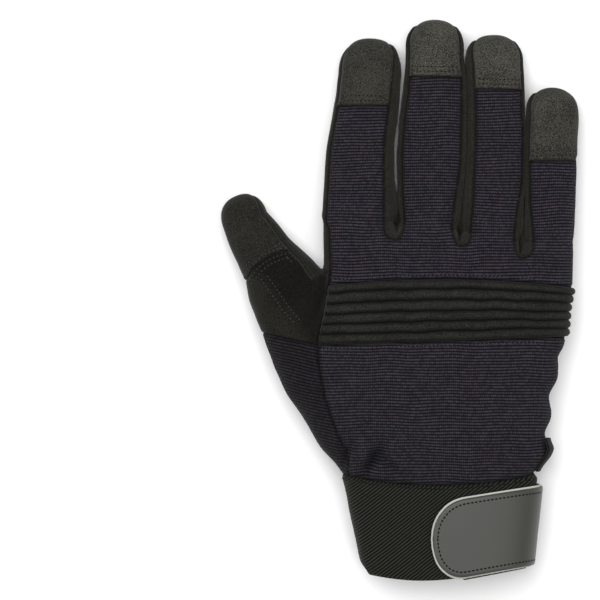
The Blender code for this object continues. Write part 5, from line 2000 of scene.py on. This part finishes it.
def plain(name, matt):
    """Matt finish with a fine uneven grain: the pale foam, the loop pile and the thread."""
    material, tree, shader = start_material(name, matt.roughness, sheen=0.03)
    nap = use_group(tree, GROUPS["nap"], {"Place": solid_place(tree), "Speck": matt.speck})
    tone = blend(tree, nap["Shade"], screen(matt.low), screen(matt.high))
    tree.links.new(tone, shader.inputs["Base Color"])
    add_bump(tree, shader, nap["Height"], matt.depth, strength=0.8)
    return material


# Colours of each finish, between its darkest and lightest threads or fibres; the caps' and the
# thumb's colours also carry painted light and shade
Shades = namedtuple("Shades", "low high")
LOOP_SUEDE = Shades((32, 31, 27), (58, 57, 49))
PALM_SUEDE = Shades((34, 33, 29), (62, 61, 53))
# The tip caps are one suede, painted in lighter and darker copies for how the light falls on each:
# the thumb's cap darkest, the middle and ring caps lightest.
SUEDE_SHADES = {
    "cap_suede_thumb": Shades((27, 26, 23), (62, 61, 54)),
    "side_suede": LOOP_SUEDE,
    "fourchette_suede_a": LOOP_SUEDE,
    "fourchette_suede_b": LOOP_SUEDE,
    "fourchette_suede_c": LOOP_SUEDE,
    "black_suede": PALM_SUEDE,
    "thumb_palm_suede": PALM_SUEDE,
    "patch_suede_upper": PALM_SUEDE,
    "patch_suede_lower": PALM_SUEDE,
    "cap_suede_index": Shades((37, 36, 32), (82, 81, 74)),
    "cap_suede_middle": Shades((44, 43, 39), (103, 102, 94)),
    "cap_suede_ring": Shades((43, 42, 38), (101, 100, 92)),
    "cap_suede_little": Shades((39, 38, 34), (94, 93, 85)),
    "flap_suede": Shades((44, 45, 42), (84, 86, 80)),
}
# The thumb's back by the hand is painted darker, as painted shade of the hollow; THUMB_OUTER gives
# its outer side.
THUMB_INNER_SHADED = Shades((12, 11, 9), (34, 33, 28))
THUMB_OUTER = Shades((24, 23, 20), (52, 51, 44))
PLEAT_SHADES = Shades((27, 27, 25), (62, 62, 57))
ELASTIC_SHADES = Shades((3, 3, 2), (71, 72, 62))
RUBBER_SHADES = Shades((65, 66, 61), (87, 88, 81))
KNIT_SHADES = {
    "navy_knit": Shades((4, 3, 6), (88, 83, 97)),
    "navy_knit_lower": Shades((8, 7, 10), (86, 82, 93)),
    "navy_knit_gusset": Shades((6, 5, 7), (64, 60, 67)),
}

# Plain finishes: colours, roughness, height of the grain in millimetres and its size
Finish = namedtuple("Finish", "low high roughness depth speck")
PLAIN_FINISHES = {
    "white_backing": Finish((228, 225, 214), (252, 250, 242), 0.7, 0.1, 1.0),
    "loop_fabric": Finish((12, 12, 12), (44, 44, 43), 0.95, 1.2, 0.7),
    "thread": Finish((46, 44, 38), (92, 89, 78), 0.6, 0.15, 0.3),
    "dark_thread": Finish((6, 6, 6), (26, 26, 25), 0.6, 0.1, 0.3),
    "knit_thread": Finish((48, 46, 54), (104, 100, 110), 0.6, 0.15, 0.3),
}
GUSSET_TURN = 12.0
KNIT_WARMTH = (1.12, 0.96, 0.95, 1.0)


def make_materials():
    made = {name: suede(name, *map(screen, shades)) for name, shades in SUEDE_SHADES.items()}
    outer = Shades(*map(screen, THUMB_OUTER))
    # the pleats' grooves take wide, nearly black painted shade
    pleats = {"seam": 1.5, "seam_dark": 0.04}
    made["thumb_suede"] = suede("thumb_suede", *map(screen, THUMB_INNER_SHADED), lighter=outer)
    made["pleated_suede"] = suede("pleated_suede", *map(screen, PLEAT_SHADES), **pleats)
    for name, shades in KNIT_SHADES.items():
        turn = GUSSET_TURN if name == "navy_knit_gusset" else 0.0
        made[name] = knit(name, *map(screen, shades), turn)
    made["black_elastic"] = elastic("black_elastic", *map(screen, ELASTIC_SHADES))
    made["grey_rubber"] = rubber("grey_rubber", *map(screen, RUBBER_SHADES))
    for name, matt in PLAIN_FINISHES.items():
        made[name] = plain(name, matt)
    return made


# Stitches

STITCH_LENGTH = 1.0
STITCH_PITCH = 1.75
STITCH_RADIUS = 0.3
STITCH_SINK = 0.10
# Needle holes are drawn as dark dots of painted shade, in the dark thread's material
HOLE_SHADE_RADIUS = 0.42
HOLE_SHADE_DEPTH = 0.2
STITCH_BATCH = 12
RAY_START = 3.0  # the place of a stitch is looked for from this far out
RAY_REACH = 30.0


def border_lines(piece, inset):
    """The piece's borders moved in along the surface, as closed lines of (point, outward)."""
    copy = piece.copy()
    draw_in(copy, inset)
    normals = copy.verts.layers.float_vector["outward"]
    left = dict.fromkeys(edge for edge in copy.edges if edge.is_boundary)
    lines = []
    while left:
        edge, _ = left.popitem()
        vert = edge.verts[1]
        line = [edge.verts[0], vert]
        while True:
            following = next((edge for edge in vert.link_edges if edge in left), None)
            if following is None:
                break
            left.pop(following)
            vert = following.other_vert(vert)
            line.append(vert)
        lines.append([(vert.co.copy(), vert[normals].copy()) for vert in line])
    copy.free()
    return lines


def evenly(line, pitch, start):
    """Points along a line at an even pitch, each with its direction and outward normal."""
    found, travelled, goal = [], 0.0, start
    for (start, normal), (end, _) in zip(line, line[1:]):
        length = (end - start).length
        while length and goal <= travelled + length:
            point = start.lerp(end, (goal - travelled) / length)
            found.append((point, (end - start) / length, normal))
            goal += pitch
        travelled += length
    return found


def stitch_spots(lines, surface, keep, start):
    """Where stitches lie on the surface: (place, direction, outward) for each one kept."""
    spots = []
    for line in lines:
        for point, way, normal in evenly(line, STITCH_PITCH, start):
            if not keep(point, normal):
                continue
            hit, face_normal, _, _ = surface.ray_cast(point + normal * RAY_START, -normal, RAY_REACH)
            if hit:
                spots.append((hit, way, face_normal))
    return spots


STITCH_SIZE = (STITCH_LENGTH / 2, STITCH_RADIUS, STITCH_RADIUS, 1.0)
BOLD_STITCH_SIZE = (0.72, 0.42, STITCH_RADIUS, 1.0)
HOLE_SHADE_SIZE = (HOLE_SHADE_RADIUS, HOLE_SHADE_RADIUS, HOLE_SHADE_DEPTH, 1.0)


def add_stitch(thread, place, way, outward, half_size):
    """One short length of thread, or one dark dot of painted shade for a needle hole, a little sunk
    into the cloth.
    """
    side = outward.cross(way).normalized()
    along = side.cross(outward).normalized()
    turn = Matrix((along, side, outward)).transposed().to_4x4()
    size = Matrix.Diagonal(half_size)
    seat = Matrix.Translation(place - outward * STITCH_SINK) @ turn @ size
    bmesh.ops.create_uvsphere(thread, u_segments=6, v_segments=5, radius=1.0, matrix=seat)


def thread_of(spots, half_size):
    """All stitches of one thread, made a few at a time and then gathered."""
    whole = bmesh.new()
    for first in range(0, len(spots), STITCH_BATCH):
        batch = bmesh.new()
        for spot in spots[first : first + STITCH_BATCH]:
            add_stitch(batch, *spot, half_size)
        mesh = bpy.data.meshes.new("batch")
        batch.to_mesh(mesh)
        batch.free()
        whole.from_mesh(mesh)
        bpy.data.meshes.remove(mesh)
    return whole


# Where each panel carries rows of thread: how far in from its border, and on which stretch
StitchRow = namedtuple("StitchRow", "piece insets thread where")

# How far from its seam a row is still sewn: on the caps, the thumb and the hand's back
CAP_STITCH_REACH = 5.0
THUMB_STITCH_REACH = 5.5
ROW_STITCH_REACH = 3.0

# Least z of the outward normal where a row is sewn: caps, thumb and tab
CAP_FACING = 0.15
THUMB_FACING = 0.1
TAB_FACING = 0.3


def near_cap_edge(finger):
    base = hand_finger_strip(finger, 1)(0.5, HAND_ROWS).y
    last = mix(base, dome_y(finger), FINGERS[finger].cap) + CAP_STITCH_REACH
    return lambda point, normal: point.y < last and normal.z > CAP_FACING


def near_row(row):
    """Accepts points of the back close to a row of the hand."""

    def near(point, normal):
        return normal.z > 0.0 and abs(point.y - row_y(BODY[row], point.x)) < ROW_STITCH_REACH

    return near


def on_thumb_seam(point, normal):
    """Accepts points near the cross seam below the thumb's cap, on its back."""
    centre, half, _ = thumb_frame(THUMB_CAP_ROW)
    forward = Vector((-half.y, half.x)).normalized()
    away = abs((Vector((point.x, point.y)) - centre).dot(forward))
    return normal.z > THUMB_FACING and away < THUMB_STITCH_REACH


def anywhere(point, normal):
    return True


def off_wrap(point, normal):
    return normal.z > TAB_FACING


def stitch_rows():
    rows = [
        StitchRow(FINGERS[finger].name + "_tip_cap", (2.0, 4.1), "thread", near_cap_edge(finger))
        for finger in range(len(FINGERS))
    ]
    rows += [
        StitchRow("back_panel_upper", (1.9,), "knit_thread", near_row(BAND_END_ROW)),
        StitchRow("back_panel_lower", (1.8,), "knit_thread", near_row(BAND_ROW)),
        StitchRow("cuff_band", (1.5,), "dark_thread", near_row(WRIST_ROW)),
        StitchRow("thumb_tip_cap", (1.4, 3.4), "thread", on_thumb_seam),
        StitchRow("thumb_back", (1.4, 3.4), "thread", on_thumb_seam),
        StitchRow("palm_patch_upper", (1.0, 3.0), "thread", anywhere),
        StitchRow("palm_patch_lower", (1.2, 3.2), "thread", anywhere),
        StitchRow("strap_tab", (2.2,), "dark_thread", off_wrap),
    ]
    return rows


def whole_surface(pieces):
    """One search tree over the outer surfaces of all pieces."""
    points, faces = [], []
    for piece in pieces.values():
        piece.verts.index_update()
        start = len(points)
        points += [vert.co.copy() for vert in piece.verts]
        faces += [[start + vert.index for vert in face.verts] for face in piece.faces]
    return BVHTree.FromPolygons(points, faces)


# Lines of thread that follow no border: the side they lie on, 1 for the back and -1 for the
# palm, and their points in plan, in millimetres
TopLine = namedtuple("TopLine", "side points")
TOP_LINES = (
    TopLine(1, ((-61.0, 9.5), (-57.5, 4.5), (-51.0, -4.8), (-46.0, -10.0))),
    TopLine(1, ((-58.2, 10.8), (-53.0, 3.5), (-47.8, -4.2), (-43.6, -9.0))),
    TopLine(-1, ((-50.9, 17.1), (-40.9, 1.4), (-30.4, -14.7), (-26.0, -20.0))),
    TopLine(-1, ((-49.2, 18.2), (-39.2, 2.5), (-28.7, -13.6), (-25.6, -17.3))),
)
LINE_STEPS = 8  # for each stretch of such a line


def top_line(line):
    """Line over the back or the palm, as (point, outward) in small steps."""
    outward = Vector((0.0, 0.0, line.side))
    level = PALM_THICKNESS if line.side > 0 else 0.0
    points = [Vector(point) for point in line.points]
    walk = []
    for start, end in zip(points, points[1:]):
        for step in range(LINE_STEPS):
            place = start.lerp(end, step / LINE_STEPS)
            walk.append((Vector((place.x, place.y, level)), outward))
    return walk


def make_stitches(pieces, materials):
    """Thread meshes by kind, from the rows on each piece's outer surface."""
    surface = whole_surface(pieces)
    threads = {name: [] for name in ("thread", "dark_thread", "knit_thread")}
    # dark dots of painted shade at the needle holes
    hole_shades = []
    for row in stitch_rows():
        for inset in row.insets:
            lines = border_lines(pieces[row.piece], inset)
            threads[row.thread] += stitch_spots(lines, surface, row.where, STITCH_PITCH / 2)
            if row.thread == "thread":
                hole_shades += stitch_spots(lines, surface, row.where, 0.0)
    lines = [top_line(line) for line in TOP_LINES]
    threads["thread"] += stitch_spots(lines, surface, anywhere, STITCH_PITCH / 2)
    hole_shades += stitch_spots(lines, surface, anywhere, 0.0)
    names = {"thread": "stitches", "dark_thread": "dark_stitches", "knit_thread": "knit_stitches"}
    made = []
    for name, spots in threads.items():
        half_size = BOLD_STITCH_SIZE if name == "dark_thread" else STITCH_SIZE
        made.append(mesh_object(thread_of(spots, half_size), names[name], materials[name]))
    made.append(mesh_object(thread_of(hole_shades, HOLE_SHADE_SIZE), "needle_holes", materials["dark_thread"]))
    return made


# The whole glove


def add_strap(pieces, walls):
    """The strap's layers, each raised over the one before."""
    level = CUFF_OUT + LAYER_GAP
    for layer in STRAP_LAYERS:
        pieces[layer.name] = strap_surface(layer, level)
        walls[layer.name] = (layer.wall, layer.material)
        level += layer.wall + LAYER_GAP


def make_surfaces():
    """Outer surface of every piece, and the wall and material that each one takes."""
    skin = make_skin()
    pieces, walls = {}, {}
    for panel in PANELS:
        pieces[panel.name] = shape_panel(skin, panel)
        walls[panel.name] = (panel.wall, panel.material)
    pieces["palm_patch_upper"] = upper_patch_surface(skin)
    walls["palm_patch_upper"] = (PATCH_WALL, "patch_suede_upper")
    skin.free()
    pieces["palm_patch_lower"] = lower_patch_surface()
    walls["palm_patch_lower"] = (PATCH_WALL, "patch_suede_lower")
    add_strap(pieces, walls)
    pieces["wrist_vent_flap"] = flap_surface(*FLAP_GRID)
    walls["wrist_vent_flap"] = (SUEDE_WALL, "flap_suede")
    return pieces, walls


def make_glove():
    materials = make_materials()
    pieces, walls = make_surfaces()
    for made in make_stitches(pieces, materials):
        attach(made, "root")
    for name, piece in pieces.items():
        wall, material = walls[name]
        add_wall(piece, wall)
        made = mesh_object(piece, name + "_cloth", materials[material])
        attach(made, "root")
        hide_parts(name)


# Floor, light and camera

PIXEL = 0.436  # width of one pixel of the photo, in millimetres on the glove
PHOTO_WIDTH = 600
GLOVE_PIXEL = 400.5  # the glove's middle, in pixels from the photo's left edge
VIEW_CENTRE = ((PHOTO_WIDTH / 2 - GLOVE_PIXEL) * PIXEL, 0.0)
VIEW_WIDTH = PHOTO_WIDTH * PIXEL
CAMERA_HEIGHT = 1900.0
SENSOR = 36.0
FLOOR_LEVEL = -0.3

# The studio, in metres and watts
FLOOR_HALF = 3.0
FLOOR_COLOUR = (0.92, 0.92, 0.92, 1.0)
Light = namedtuple("Light", "name place size power")
LIGHTS = (
    Light("key", (-0.4, 0.6, 1.9), 1.6, 36.0),
    Light("fill", (0.8, -0.6, 1.8), 1.6, 14.0),
)
SKY_COLOUR = (1.0, 1.0, 1.0, 1.0)
SKY_STRENGTH = 0.5
CLIP_START = 0.05
CLIP_END = 50.0


def make_floor():
    piece = bmesh.new()
    level = Matrix.Translation((0.0, 0.0, FLOOR_LEVEL * MM))
    bmesh.ops.create_grid(piece, x_segments=2, y_segments=2, size=FLOOR_HALF, matrix=level)
    mesh = bpy.data.meshes.new("floor")
    piece.to_mesh(mesh)
    piece.free()
    material = bpy.data.materials.new("pale_floor")
    material.use_nodes = True
    shader = material.node_tree.nodes["Principled BSDF"]
    shader.inputs["Base Color"].default_value = FLOOR_COLOUR
    shader.inputs["Roughness"].default_value = 0.9
    mesh.materials.append(material)
    floor = bpy.data.objects.new("floor", mesh)
    bpy.context.scene.collection.objects.link(floor)


def make_light(light):
    data = bpy.data.lights.new(light.name, "AREA")
    data.energy = light.power
    data.size = light.size
    made = bpy.data.objects.new(light.name, data)
    made.location = light.place
    made.rotation_mode = "QUATERNION"
    made.rotation_quaternion = (-Vector(light.place)).to_track_quat("-Z", "Y")
    bpy.context.scene.collection.objects.link(made)


def make_lights():
    for light in LIGHTS:
        make_light(light)
    world = bpy.data.worlds.new("studio")
    world.use_nodes = True
    background = world.node_tree.nodes["Background"]
    background.inputs["Color"].default_value = SKY_COLOUR
    background.inputs["Strength"].default_value = SKY_STRENGTH
    bpy.context.scene.world = world
    bpy.context.scene.view_settings.view_transform = "Standard"


def make_camera():
    data = bpy.data.cameras.new("camera")
    data.sensor_width = SENSOR
    data.lens = SENSOR * CAMERA_HEIGHT / VIEW_WIDTH
    data.clip_start = CLIP_START
    data.clip_end = CLIP_END
    camera = bpy.data.objects.new("camera", data)
    camera.location = Vector((*VIEW_CENTRE, CAMERA_HEIGHT)) * MM + SHIFT
    bpy.context.scene.collection.objects.link(camera)
    bpy.context.scene.camera = camera


make_floor()
make_lights()
make_camera()
make_glove()
